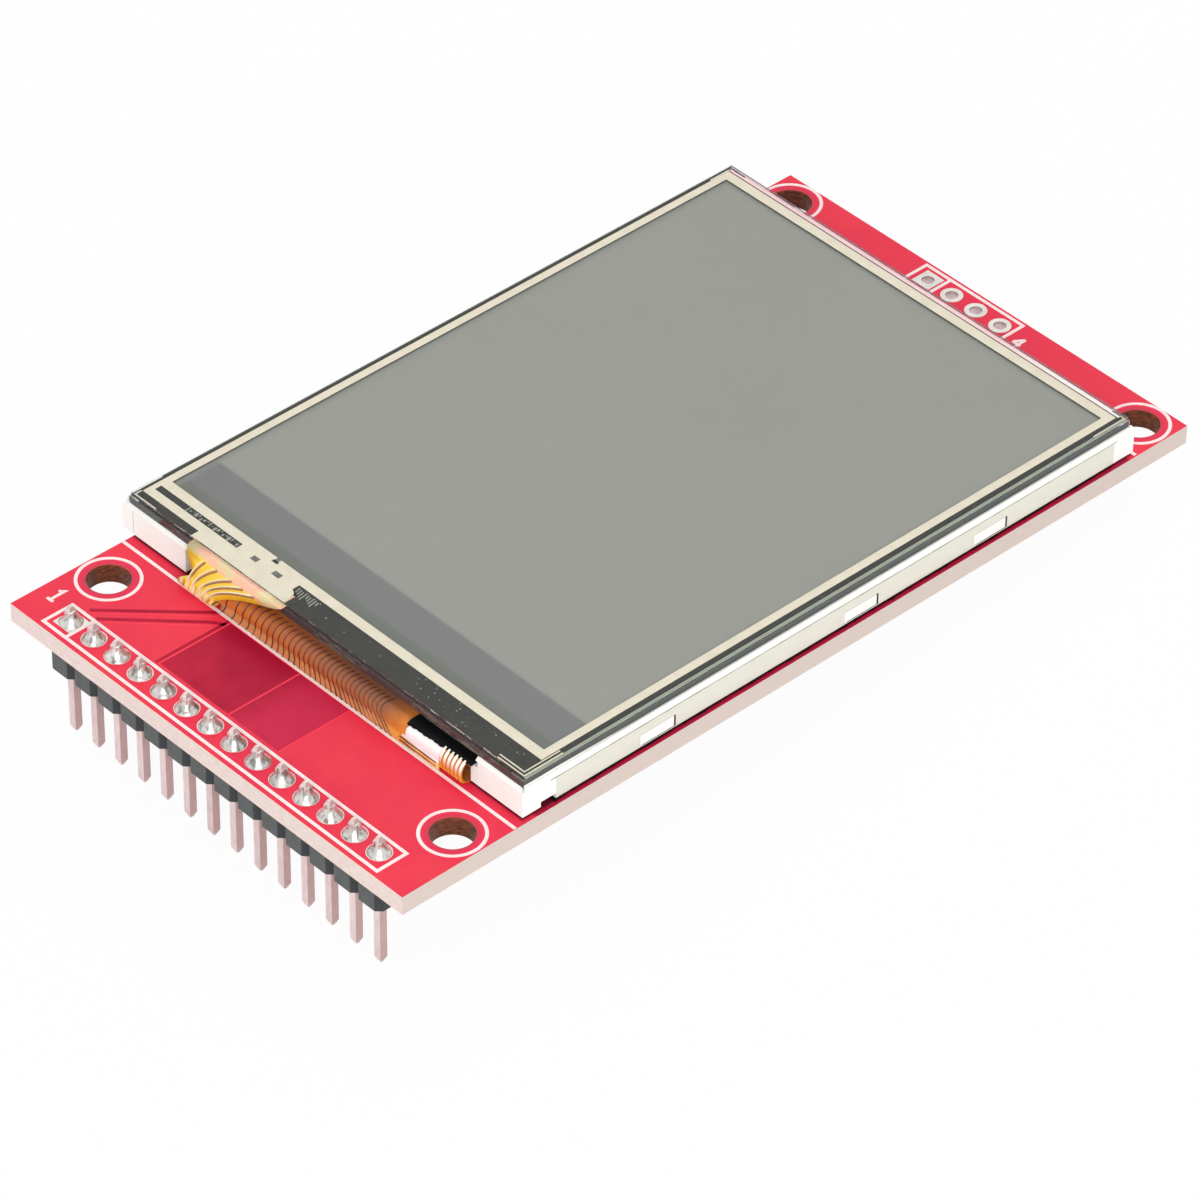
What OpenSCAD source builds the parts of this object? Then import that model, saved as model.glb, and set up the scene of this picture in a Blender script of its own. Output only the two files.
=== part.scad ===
// TFT display module: a touch display panel taped to a circuit board with a 14-pin header.
// Millimetres. The origin is the centre of the four mounting holes, on the underside of the board.
// +Z points out of the display, +Y from the pin header to the far end, and pin 1 is at -X.

/* [Circuit board] */
// Width of the board, across the pin header
board_w = 42; // [42:0.1:50]
// Length of the board, from the header edge to the far edge
board_l = 77; // [69:0.1:90]
// Thickness of the board
board_t = 1.6; // [1:0.1:2.4]

/* [Mounting holes] */
// Diameter of the mounting holes
mount_hole_d = 3.3; // [2.2:0.1:3.6]
// Distance between the mounting holes across the board
mount_span_x = 36.8; // [36.4:0.1:37.2]
// Distance from the far edge of the board to the far mounting holes
mount_far_edge = 2.5; // [2.2:0.1:3.5]
// Distance from the header edge of the board to the near mounting holes
mount_near_edge = 6.9; // [6.5:0.1:8]

/* [Pin header] */
// Distance from one pin to the next
pin_pitch = 2.54; // [2.4:0.01:2.6]
// Width of a square pin
pin_w = 0.64; // [0.5:0.01:0.7]
// Length of pin below the header strip
pin_reach = 5.86; // [3:0.01:12]
// Length of pin above the board
pin_stub = 1.45; // [1.3:0.05:2.5]
// Length of the taper at each end of a pin
pin_taper = 0.45; // [0.1:0.05:0.6]
// Distance from the near edge of the board to the row of pins
header_edge = 1.9; // [1.7:0.1:3]
// Height of the plastic header strip
strip_h = 2.54; // [1.5:0.01:4]
// Depth of the plastic header strip
strip_d = 2.5; // [2:0.1:3]
// Corner cut between the segments of the header strip
strip_notch = 0.45; // [0.1:0.05:0.6]
// Diameter of the drilled holes for the pins
pin_hole_d = 1.02; // [1:0.01:1.2]
// Diameter of a solder joint at the board
solder_d = 1.9; // [1.6:0.05:2.1]
// Height of a solder joint above the board
solder_h = 1.15; // [0.6:0.05:1.25]

/* [Card signal row] */
// Distance from the far edge of the board to the row of four plated holes
row_edge = 1.65; // [1.2:0.05:3]
// Offset of the row from the middle of the board
row_x = -0.55; // [-5:0.05:5]
// Bore of the plated holes
row_bore_d = 1; // [0.8:0.05:1.1]
// Diameter of the copper pads around the plated holes
row_pad_d = 1.75; // [1.6:0.05:2]
// Thickness of the copper pads
pad_t = 0.05; // [0.03:0.01:0.08]

/* [Display panel] */
// Width of the white frame
frame_w = 42.72; // [42.3:0.01:44]
// Distance from the header edge of the board to the white frame
panel_near_edge = 11.3; // [11.1:0.01:12]
// Distance from the far edge of the board to the white frame
panel_far_edge = 5.44; // [5.3:0.01:6]
// Wall of the frame along its sides and far end
frame_wall = 1.1; // [0.9:0.05:1.4]
// Offset of the panel from the middle of the board
panel_x = -0.7; // [-1.2:0.05:0]
// Height of the mounting tape between the board and the panel
tape_t = 0.25; // [0.2:0.05:1]
// Thickness of the steel pan around the backlight
pan_t = 0.15; // [0.1:0.01:0.2]
// Height of the pan walls
pan_wall_h = 1.95; // [1.6:0.05:2.05]
// Thickness of each glass of the display cell
cell_glass_t = 0.4; // [0.3:0.05:0.7]
// Thickness of each polarizer
polarizer_t = 0.15; // [0.1:0.01:0.25]
// Thickness of the light guide
light_guide_t = 0.5; // [0.4:0.05:0.8]
// Thickness of the reflector, diffuser and prism sheets
sheet_t = 0.1; // [0.05:0.01:0.15]
// Gap between the frame and the sheets and glass in it
cell_clearance = 0.1; // [0.05:0.01:0.15]
// Distance from the near face of the frame to the near edge of the front glass
ledge_l = 8.1; // [7:0.1:10]

/* [Touch panel] */
// Width of the touch glass
touch_w = 42.1; // [41.6:0.1:42.6]
// Distance from the ends of the white frame to the ends of the touch glass
touch_margin = 0.33; // [0.05:0.01:0.5]
// Thickness of the touch glass
touch_glass_t = 0.7; // [0.5:0.05:1.1]
// Thickness of the touch film
touch_film_t = 0.2; // [0.1:0.01:0.25]
// Thickness of the adhesive ring between the film and the glass
spacer_t = 0.1; // [0.08:0.01:0.12]
// Thickness of the gasket between the frame and the touch glass
gasket_t = 0.2; // [0.1:0.05:0.5]
// Width of the gasket ring and of the adhesive ring
ring_w = 1.5; // [1.2:0.1:2]

/* [Flexible circuits] */
// Thickness of the flexible circuits
flex_t = 0.12; // [0.08:0.01:0.14]
// Width of the display flex
display_flex_w = 21; // [18:0.5:23]
// Width of the touch flex where it is bonded to the film
touch_flex_w = 10.4; // [9:0.1:12]
// Width of the touch flex where it meets the board
touch_tail_w = 3.4; // [3:0.1:5]

/* [Card socket] */
// Width of the card socket, along the board
socket_w = 27.6; // [27:0.1:29]
// Length of the card socket, from its mouth to its back
socket_l = 27.5; // [26:0.5:30]
// Height of the card socket below the board
socket_h = 2.8; // [2.7:0.1:3.4]
// Width of the card slot
card_slot_w = 24.3; // [24.1:0.1:24.6]
// Height of the card slot
card_slot_h = 2.2; // [2.15:0.05:2.3]
// Distance of the middle of the socket from the centre of the mounting holes
socket_y = 13.5; // [5:0.5:16]

/* [Hidden] */
PIN_COUNT = 14;
LED_COUNT = 4;
RESISTOR_SPOTS = [[6.5, -12, 0], [9.5, -12, 0], [-5, -29.5, 90], [-2, -29.5, 90]];
CAPACITOR_SPOTS = [[15.5, -14.5, 0], [15.5, -24.5, 0], [2.5, -20, 90], [15.5, -6.5, 0]];

function numbered(stem, count) = [for (k = [1:count]) str(stem, k)];

EPS = 0.01;
$fn = 48;

// The board and its rows of holes
mount_span_y = board_l - mount_near_edge - mount_far_edge;
board_far = mount_span_y / 2 + mount_far_edge;
board_near = board_far - board_l;
header_y = board_near + header_edge;
row_y = board_far - row_edge;
row_count = 4;

// Levels of the display panel, upwards from the board
panel_z = board_t + tape_t;
reflector_z = panel_z + pan_t;
guide_z = reflector_z + sheet_t;
diffuser_z = guide_z + light_guide_t;
lower_prism_z = diffuser_z + sheet_t;
upper_prism_z = lower_prism_z + sheet_t;
rear_polarizer_z = upper_prism_z + sheet_t;
rear_glass_z = rear_polarizer_z + polarizer_t;
front_glass_z = rear_glass_z + cell_glass_t;
front_polarizer_z = front_glass_z + cell_glass_t;
frame_top = front_polarizer_z + polarizer_t;
frame_h = frame_top - panel_z;

// The panel fills the board between the header and the row of holes
frame_l = board_l - panel_near_edge - panel_far_edge;
frame_near = board_near + panel_near_edge;
frame_far = board_far - panel_far_edge;
panel_y = (frame_near + frame_far) / 2;

// Levels of the touch panel
touch_glass_z = frame_top + gasket_t;
spacer_z = touch_glass_z + touch_glass_t;
film_z = spacer_z + spacer_t;
touch_shift = [0.15, -0.06];
touch_x = panel_x + touch_shift[0];
touch_l = frame_l - 2 * touch_margin;
touch_y = panel_y + touch_shift[1];
touch_near = touch_y - touch_l / 2;
film_inset = 0.12;

// The room inside the frame
front_recess = 0.9;
front_wall = 1;
cell_near = frame_near + front_recess + front_wall + cell_clearance;
cell_far = frame_far - frame_wall - cell_clearance;
cell_w = frame_w - 2 * (frame_wall + cell_clearance);
cell_l = cell_far - cell_near;
front_glass_near = frame_near + ledge_l;

// The frame's near corners, with the gap for the flexible circuits between them
left_block_w = 7;
right_block_w = 5.3;
gap_left = panel_x - frame_w / 2 + left_block_w;
gap_right = panel_x + frame_w / 2 - right_block_w;
tape_notch = [0.7, 0.6];
tape_back = 1.3;
relief = [1.2, 1.4, 0.45];

// The steel pan
pan_setbacks = [3.1, 2.05];
pan_near = frame_near + pan_setbacks[0];
pan_far = frame_far - pan_setbacks[1];
window_l = 3.4;
window_h = 1;
window_shares = [-0.2896, 0.0382, 0.2539];
window_spots = [for (share = window_shares) share * frame_l];
tab_clearance = 0.05;

// The light source at the near edge of the light guide
led = [3, 1.3, light_guide_t + sheet_t];
led_inset = 1;
led_pitch = (cell_w - 2 * led_inset) / LED_COUNT;
guide_near = cell_near + led[1] + cell_clearance;
led_flex_lap = 0.6;
sheets_near = guide_near + led_flex_lap + cell_clearance;
driver_chip_size = [16, 1.6, 0.3];
ledge_bond = 1.4;

// The bends of the flexible circuits in front of the frame. The display flex and the tail bend alike.
flex_gap = 0.15;
flex_foot_z = board_t + flex_t / 2;
foot_l = 5;
display_flex_z = front_glass_z + flex_t / 2;
bend_share = 0.43;
flex_r = bend_share * (display_flex_z - flex_foot_z);
bend_setback = 0.1;
flex_bend_y = frame_near + bend_setback;
display_flex_shift = -0.35;
flex_slant = 0.9;
display_flex_left = panel_x + display_flex_shift - display_flex_w / 2;
display_flex_right = display_flex_left + display_flex_w;
tail_left_x = display_flex_right + flex_gap;
tail_right_x = gap_right - flex_gap;

// The touch flex drapes over the display flex, and its tail comes down beside it
touch_flex_z = spacer_z + spacer_t / 2;
touch_foot_z = board_t + spacer_t / 2;
touch_bond = 1.3;
touch_bend_r = 0.6;
touch_foot_r = 0.45;
touch_foot_reach = 0.9;
touch_foot_y = flex_bend_y - touch_foot_reach;
touch_flex_left = gap_left + flex_gap;
touch_flex_right = touch_flex_left + touch_flex_w;
tail_gap = 0.35;
touch_tail_right = display_flex_left + flex_slant - tail_gap;
touch_tail_left = touch_tail_right - touch_tail_w;

// The socket and the chips under the board
socket_setback = 0.6;
socket_mouth = -board_w / 2 + socket_setback;
shell_t = 0.2;
card_contact_count = 9;
card_contact_pitch = 2.5;
controller_body = [5, 4.4, 1];
controller_lead = [0.25, 1, 0.15];
controller_pitch = 0.65;
controller_spot = [9, -20];
transistor_body = [2.9, 1.3, 1];
transistor_lead = [0.4, 0.6, 0.15];
transistor_pitch = 0.95;
transistor_spot = [-9, -29.5];
regulator_spot = [15.5, -10.5];
chip_size = [1.6, 0.8];

// ---- Shared shapes ----

// A box that is centred on x, starts at y and stands on z
module box_from(x, y, z, size) {
    translate([x - size[0] / 2, y, z])
        cube(size);
}

// A flat ring around a rectangle
module flat_ring(w, l, h, ring) {
    difference() {
        translate([-w / 2, -l / 2, 0])
            cube([w, l, h]);
        translate([-w / 2 + ring, -l / 2 + ring, -1])
            cube([w - 2 * ring, l - 2 * ring, h + 2]);
    }
}

// Points on an arc in the YZ plane
function arc(c, r, a0, a1, n = 14) =
    [for (i = [0:n]) let (a = a0 + (a1 - a0) * i / n) [c[0] + r * cos(a), c[1] + r * sin(a)]];

// Unit normal of a path at one of its points
function path_normal(p, i) =
    let (
        a = p[max(i - 1, 0)],
        b = p[min(i + 1, len(p) - 1)],
        d = b - a
    ) [-d[1], d[0]] / norm(d);

// The outline of a strip of thickness t that follows a path, shifted sideways by s
function ribbon(p, t, s = 0) = concat(
    [for (i = [0:len(p) - 1]) p[i] + path_normal(p, i) * (s + t / 2)],
    [for (i = [len(p) - 1:-1:0]) p[i] + path_normal(p, i) * (s - t / 2)]
);

// A path that leaves at height z_top, bends down round r1 and turns under round r2 at height z_foot
function fold_path(start, y1, z_top, r1, y2, z_foot, r2, foot_end) =
    let (
        c1 = [y1, z_top - r1],
        c2 = [y2, z_foot + r2],
        d = c2 - c1,
        phi = atan2(d[1], d[0]) - acos((r1 - r2) / norm(d)) + 360
    ) concat([start], arc(c1, r1, 90, phi), arc(c2, r2, phi, 270), [[foot_end, z_foot]]);

// A gentle step from one height to another
function rise(y0, z0, y1, z1, n = 10) =
    [for (i = [0:n]) [y0 + (y1 - y0) * i / n, z0 + (z1 - z0) * (1 - cos(180 * i / n)) / 2]];

// Draws a YZ outline from x0 to x1
module across(x0, x1) {
    translate([x0, 0, 0])
        rotate([90, 0, 90])
            linear_extrude(height = x1 - x0)
                children();
}

// Cuts an XZ outline through what is in front of the frame
module through_front() {
    translate([0, frame_far, 0])
        rotate([90, 0, 0])
            linear_extrude(height = 2 * frame_l)
                children();
}

// The XZ outline of a bent flex: x_left and x_right are its edges at the top, and the leans are
// how far each edge has moved to the right at the foot
module leaning_outline(x_left, lean_left, x_right, lean_right) {
    polygon([
        [x_left + lean_left, 0], [x_right + lean_right, 0],
        [x_right + lean_right, flex_foot_z], [x_right, display_flex_z], [x_right, frame_top],
        [x_left, frame_top], [x_left, display_flex_z], [x_left + lean_left, flex_foot_z]
    ]);
}

// ---- Circuit board and header ----

function pin_x(k) = (k - (PIN_COUNT + 1) / 2) * pin_pitch;
function row_hole_x(k) = row_x + (k - (row_count + 1) / 2) * pin_pitch;

module circuit_board() {
    color("crimson")
        difference() {
            translate([-board_w / 2, board_near, 0])
                cube([board_w, board_l, board_t]);
            for (x = [-1, 1], y = [-1, 1])
                translate([x * mount_span_x / 2, y * mount_span_y / 2, -1])
                    cylinder(d = mount_hole_d, h = board_t + 2, $fn = 64);
            for (k = [1:PIN_COUNT])
                translate([pin_x(k), header_y, -1])
                    cylinder(d = pin_hole_d, h = board_t + 2);
            for (k = [1:row_count])
                translate([row_hole_x(k), row_y, -1])
                    cylinder(d = row_bore_d, h = board_t + 2);
        }
}

// A copper pad on each face around a bore. The first one is square.
module row_pad(square_pad) {
    difference() {
        for (z = [-pad_t, board_t])
            translate([0, 0, z])
                if (square_pad)
                    translate([-row_pad_d / 2, -row_pad_d / 2, 0])
                        cube([row_pad_d, row_pad_d, pad_t]);
                else
                    cylinder(d = row_pad_d, h = pad_t);
        translate([0, 0, -1])
            cylinder(d = row_bore_d, h = board_t + 2);
    }
}

module row_pads() {
    color("silver")
        for (k = [1:row_count])
            translate([row_hole_x(k), row_y, 0])
                row_pad(k == 1);
}

// The plan outline of one segment of the header strip
module strip_segment() {
    half = pin_pitch / 2;
    depth = strip_d / 2;
    polygon([
        [-half - EPS, -depth + strip_notch], [-half + strip_notch, -depth],
        [half - strip_notch, -depth], [half + EPS, -depth + strip_notch],
        [half + EPS, depth - strip_notch], [half - strip_notch, depth],
        [-half + strip_notch, depth], [-half - EPS, depth - strip_notch]
    ]);
}

module header_strip() {
    color("dimgray")
        translate([0, header_y, -strip_h])
            linear_extrude(height = strip_h)
                difference() {
                    for (k = [1:PIN_COUNT])
                        translate([pin_x(k), 0])
                            strip_segment();
                    for (k = [1:PIN_COUNT])
                        translate([pin_x(k), 0])
                            square(pin_w, center = true);
                }
}

// The side view of a pin, tapered at both ends
module pin_outline() {
    foot = -strip_h - pin_reach;
    top = board_t + pin_stub;
    half = pin_w / 2;
    tip = pin_w / 5;
    polygon([
        [-tip, foot], [tip, foot], [half, foot + pin_taper], [half, top - pin_taper],
        [tip, top], [-tip, top], [-half, top - pin_taper], [-half, foot + pin_taper]
    ]);
}

module header_pin(k) {
    color("lightgray")
        translate([pin_x(k), header_y, 0])
            intersection() {
                rotate([90, 0, 0])
                    linear_extrude(height = pin_w, center = true)
                        pin_outline();
                rotate([90, 0, 90])
                    linear_extrude(height = pin_w, center = true)
                        pin_outline();
            }
}

// Solder fills the drilled hole and climbs the pin in a hollow curve
module solder_joint() {
    rim = 0.06;
    neck = pin_w * 0.62;
    steps = 8;
    difference() {
        union() {
            rotate_extrude()
                polygon(concat(
                    [[0, board_t], [solder_d / 2, board_t], [solder_d / 2, board_t + rim]],
                    [for (i = [1:steps]) let (t = i / steps)
                        [neck + (solder_d / 2 - neck) * pow(1 - t, 1.7), board_t + rim + (solder_h - rim) * t]],
                    [[0, board_t + solder_h]]
                ));
            cylinder(d = pin_hole_d, h = board_t + EPS);
        }
        translate([-pin_w / 2, -pin_w / 2, -1])
            cube([pin_w, pin_w, board_t + solder_h + 2]);
    }
}

module header_solder() {
    color("silver")
        for (k = [1:PIN_COUNT])
            translate([pin_x(k), header_y, 0])
                solder_joint();
}

// ---- Backlight and frame ----

// Double-sided tape along the two sides and the far end of the panel
module mounting_tape() {
    side_w = 3.5;
    edge = 0.6;
    left = max(-board_w / 2, panel_x - frame_w / 2) + edge;
    right = min(board_w / 2, panel_x + frame_w / 2) - edge;
    near = pan_near + 1;
    far = frame_far - edge;
    color("dimgray")
        difference() {
            translate([left, near, board_t])
                cube([right - left, far - near, tape_t]);
            translate([left + side_w, near - 1, board_t - 1])
                cube([right - left - 2 * side_w, far - near - side_w + 1, tape_t + 2]);
        }
}

// Boxes for the latch windows, or for the tabs that fill them when shrink is set
module latch_boxes(shrink, depth) {
    for (side = [-1, 1], s = window_spots)
        translate([
            panel_x + side * (frame_w / 2 - depth / 2) - depth / 2,
            panel_y + s - window_l / 2 + shrink,
            panel_z + 0.1 + shrink
        ])
            cube([depth, window_l - 2 * shrink, window_h - 2 * shrink]);
}

// The stamped pan: a floor that fills the frame, and a wall along each side
module pan_solid() {
    box_from(panel_x, pan_near, panel_z, [frame_w, pan_far - pan_near, pan_t]);
    box_from(panel_x, cell_near, panel_z, [cell_w, cell_l, pan_t]);
    for (side = [-1, 1])
        translate([panel_x + side * (frame_w - pan_t) / 2 - pan_t / 2, pan_near, panel_z])
            cube([pan_t, pan_far - pan_near, pan_wall_h]);
}

module backlight_pan() {
    color("gainsboro")
        difference() {
            pan_solid();
            latch_boxes(0, 4 * pan_t);
        }
}

module panel_frame() {
    wall_top = diffuser_z - EPS * 5;
    color("white") {
        difference() {
            box_from(panel_x, frame_near, panel_z, [frame_w, frame_l, frame_h]);
            // room for the sheets and the glass
            box_from(panel_x, cell_near - cell_clearance, panel_z - 1,
                [cell_w + 2 * cell_clearance, cell_l + 2 * cell_clearance, frame_h + 2]);
            // recess that the flexible circuits pass through, over a low front wall
            translate([gap_left, frame_near - 1, panel_z - 1])
                cube([gap_right - gap_left, front_recess + 1, frame_h + 2]);
            translate([gap_left, frame_near - 1, wall_top])
                cube([gap_right - gap_left, front_recess + front_wall + 2, frame_h]);
            // step in the right corner block for the end of the tape
            translate([gap_right - EPS, frame_near - 1, frame_top - tape_notch[1]])
                cube([tape_notch[0], 1 + tape_back + cell_clearance, frame_h]);
            // relief under the sides, between the near corners and the pan
            for (side = [-1, 1])
                translate([panel_x + side * frame_w / 2 - relief[0], pan_near - relief[1], panel_z - 1])
                    cube([2 * relief[0], relief[1] + EPS, relief[2] + 1]);
            pan_solid();
        }
        // tabs that snap into the pan's windows
        latch_boxes(tab_clearance, pan_t + 0.2);
    }
}

module cell_sheet(near, z, t) {
    box_from(panel_x, near, z, [cell_w, cell_far - near, t]);
}

module reflector_sheet() {
    color("whitesmoke")
        cell_sheet(guide_near, reflector_z, sheet_t);
}

module light_guide() {
    color("azure", 0.6)
        cell_sheet(guide_near, guide_z, light_guide_t);
}

module backlight_led(k) {
    color("khaki")
        box_from(panel_x + (k - (LED_COUNT + 1) / 2) * led_pitch, cell_near, reflector_z, led);
}

// The strip above the lights, with a tail that climbs, bends over and tucks under the panel
module backlight_flex() {
    strip_z = reflector_z + led[2];
    rise_l = 0.9;
    lead_in = flex_bend_y + flex_r * 0.3;
    path = concat(
        rise(cell_near, strip_z + flex_t / 2, cell_near - rise_l, display_flex_z),
        fold_path([lead_in, display_flex_z], flex_bend_y, display_flex_z, flex_r,
            flex_bend_y, flex_foot_z, flex_r, flex_bend_y + foot_l)
    );
    color("goldenrod") {
        box_from(panel_x, cell_near, strip_z, [cell_w - 2 * led_inset, led[1] + cell_clearance + led_flex_lap, flex_t]);
        intersection() {
            across(tail_left_x - flex_slant, tail_right_x)
                polygon(ribbon(path, flex_t));
            through_front()
                leaning_outline(tail_left_x, -flex_slant, tail_right_x, 0);
        }
    }
}

module diffuser_sheet() {
    color("white", 0.8)
        cell_sheet(sheets_near, diffuser_z, sheet_t);
}

module lower_prism_sheet() {
    color("whitesmoke", 0.6)
        cell_sheet(sheets_near, lower_prism_z, sheet_t);
}

module upper_prism_sheet() {
    color("whitesmoke", 0.6)
        cell_sheet(sheets_near, upper_prism_z, sheet_t);
}

// ---- Display cell ----

module rear_polarizer() {
    color("darkslategray")
        cell_sheet(sheets_near, rear_polarizer_z, polarizer_t);
}

module rear_glass() {
    color("lightslategray", 0.7)
        cell_sheet(cell_near, rear_glass_z, cell_glass_t);
}

module front_glass() {
    color("lightslategray", 0.7)
        cell_sheet(front_glass_near, front_glass_z, cell_glass_t);
}

module front_polarizer() {
    color("darkgray")
        cell_sheet(front_glass_near, front_polarizer_z, polarizer_t);
}

// The driver sits on the ledge of the rear glass
module driver_chip() {
    middle = (cell_near + ledge_bond + front_glass_near) / 2;
    color("slategray")
        box_from(panel_x, middle - driver_chip_size[1] / 2, front_glass_z, driver_chip_size);
}

module light_shield_tape() {
    near = cell_near + ledge_bond + cell_clearance;
    tape_h = 0.06;
    color("gray")
        box_from(panel_x, near, front_glass_z + driver_chip_size[2],
            [cell_w, front_glass_near - near - cell_clearance, tape_h]);
}

// The wide flex: bonded to the ledge, bent over the front wall and tucked under the panel
module display_flex() {
    path = fold_path([cell_near + ledge_bond, display_flex_z], flex_bend_y, display_flex_z, flex_r,
        flex_bend_y, flex_foot_z, flex_r, flex_bend_y + foot_l);
    color("chocolate")
        intersection() {
            across(display_flex_left, display_flex_right)
                polygon(ribbon(path, flex_t));
            through_front()
                leaning_outline(display_flex_left, flex_slant, display_flex_right, -flex_slant);
        }
}

// Black tape over the bend of the backlight tail
module tail_tape() {
    tape_h = 0.08;
    overhang = tape_notch[0] - flex_gap;
    lift = 0.005;
    bend_end = 148;
    path = concat(
        [[frame_near + tape_back, display_flex_z]],
        arc([flex_bend_y, display_flex_z - flex_r], flex_r, 90, bend_end)
    );
    color("black")
        across(tail_left_x - flex_slant / 3, tail_right_x + overhang)
            polygon(ribbon(path, tape_h, -(flex_t + tape_h) / 2 - lift));
}

// ---- Touch panel ----

module touch_gasket() {
    inset = 0.35;
    color("black")
        translate([touch_x, touch_y, frame_top])
            flat_ring(touch_w - 2 * inset, touch_l - 2 * inset, gasket_t, ring_w);
}

module touch_glass() {
    color("darkseagreen", 0.5)
        box_from(touch_x, touch_near, touch_glass_z, [touch_w, touch_l, touch_glass_t]);
}

// The adhesive ring, with a gap where the touch flex is bonded
module touch_spacer() {
    color("beige")
        difference() {
            translate([touch_x, touch_y, spacer_z])
                flat_ring(touch_w - 2 * film_inset, touch_l - 2 * film_inset, spacer_t, ring_w);
            translate([touch_flex_left - flex_gap, touch_near - 1, spacer_z - 1])
                cube([touch_flex_w + 2 * flex_gap, ring_w + 2, spacer_t + 2]);
        }
}

module touch_film() {
    color("lightgray", 0.5)
        box_from(touch_x, touch_near + film_inset, film_z,
            [touch_w - 2 * film_inset, touch_l - 2 * film_inset, touch_film_t]);
}

// Edges of the touch flex at a height: wide at the film, then narrow down to the tail
function tail_blend(z) = let (t = (touch_flex_z - z) / (touch_flex_z - touch_foot_z)) 1 - pow(1 - t, 2);
function tail_left(z) = touch_flex_left + (touch_tail_left - touch_flex_left) * tail_blend(z);
function tail_right(z) = touch_flex_right + (touch_tail_right - touch_flex_right) * tail_blend(z);

// The narrow flex: bonded under the film, it drops in front of the panel and tucks under it
module touch_flex() {
    path = fold_path([touch_near + touch_bond, touch_flex_z], touch_near - 0.1, touch_flex_z, touch_bend_r,
        touch_foot_y, touch_foot_z, touch_foot_r, touch_foot_y + foot_l / 2);
    steps = 12;
    levels = [for (i = [0:steps]) touch_flex_z + (touch_foot_z - touch_flex_z) * i / steps];
    color("gold")
        intersection() {
            across(min(touch_flex_left, touch_tail_left), touch_flex_right)
                polygon(ribbon(path, spacer_t));
            through_front()
                polygon(concat(
                    [[tail_left(touch_flex_z), film_z + 1]],
                    [for (z = levels) [tail_left(z), z]],
                    [[tail_left(touch_foot_z), 0], [tail_right(touch_foot_z), 0]],
                    [for (i = [steps:-1:0]) [tail_right(levels[i]), levels[i]]],
                    [[tail_right(touch_flex_z), film_z + 1]]
                ));
        }
}

// ---- Underside ----

// The slot that a card slides into, open at the mouth
module card_slot(depth) {
    floor_t = socket_h - shell_t - card_slot_h;
    translate([socket_mouth - 1, socket_y - card_slot_w / 2, -floor_t - card_slot_h])
        cube([depth + 1, card_slot_w, card_slot_h]);
}

// Plastic floor, rails and back wall
module card_socket_base() {
    back_wall = 2.5;
    color("dimgray")
        difference() {
            translate([socket_mouth, socket_y - socket_w / 2 + shell_t, -socket_h + shell_t])
                cube([socket_l, socket_w - 2 * shell_t, socket_h - shell_t]);
            card_slot(socket_l - back_wall);
            for (k = [1:card_contact_count])
                card_contact_room(k);
        }
}

// Folded steel cover over the socket
module card_socket_shell() {
    lip = 1;
    color("silver")
        difference() {
            translate([socket_mouth + lip, socket_y - socket_w / 2, -socket_h])
                cube([socket_l - lip, socket_w, socket_h]);
            translate([socket_mouth, socket_y - socket_w / 2 + shell_t, -socket_h + shell_t])
                cube([socket_l + 1, socket_w - 2 * shell_t, socket_h]);
            // finger notch at the mouth
            translate([socket_mouth + lip, socket_y, -socket_h - 1])
                cylinder(d = 10, h = 1 + shell_t + EPS);
            for (side = [-1, 1])
                translate([socket_mouth + 9, socket_y + side * 6, -socket_h - 1])
                    cube([8, 1, 1 + shell_t + EPS]);
        }
}

function card_contact_y(k) = socket_y + (k - (card_contact_count + 1) / 2) * card_contact_pitch;
contact_w = 0.8;
contact_t = 0.2;
contact_reach = 6;

module card_contact_room(k) {
    floor_t = socket_h - shell_t - card_slot_h;
    back = socket_mouth + socket_l;
    translate([back - contact_reach - 2, card_contact_y(k) - contact_w / 2, -floor_t])
        cube([contact_reach + 3, contact_w, floor_t + 1]);
}

// A contact: solder tail behind the socket, strip in the floor, and a raised spring in the slot
module card_contact(k) {
    tail = 1.2;
    back = socket_mouth + socket_l;
    floor_t = socket_h - shell_t - card_slot_h;
    spring_l = 3;
    spring_z = -floor_t - 0.7;
    translate([0, card_contact_y(k) + contact_w / 2, 0])
        rotate([90, 0, 0])
            linear_extrude(height = contact_w)
                polygon([
                    [back + tail, 0], [back + tail, -contact_t],
                    [back - contact_reach, -contact_t],
                    [back - contact_reach - spring_l + 0.8, spring_z - contact_t],
                    [back - contact_reach - spring_l, spring_z],
                    [back - contact_reach - spring_l + 0.8, spring_z],
                    [back - contact_reach, 0]
                ]);
}

module card_contacts() {
    color("gold")
        for (k = [1:card_contact_count])
            card_contact(k);
}

// A moulded chip with bent leads, lying upside down under the board
module leaded_chip(body, leads, pitch, lead) {
    stand = 0.1;
    translate([-body[0] / 2, -body[1] / 2, -stand - body[2]])
        cube(body);
    for (side = [-1, 1], x = leads[side == 1 ? 1 : 0])
        translate([x * pitch - lead[0] / 2, 0, 0])
            rotate([90, 0, 90])
                linear_extrude(height = lead[0])
                    polygon([for (p = [
                        [body[1] / 2 - EPS, -stand - body[2] / 2],
                        [body[1] / 2 + lead[1] * 0.35, -stand - body[2] / 2],
                        [body[1] / 2 + lead[1] * 0.55, -lead[2]],
                        [body[1] / 2 + lead[1], -lead[2]],
                        [body[1] / 2 + lead[1], 0],
                        [body[1] / 2 + lead[1] * 0.4, 0],
                        [body[1] / 2 + lead[1] * 0.2, -stand - body[2] / 2 + lead[2]],
                        [body[1] / 2 - EPS, -stand - body[2] / 2 + lead[2]]
                    ]) [side * p[0], p[1]]]);
}

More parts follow.
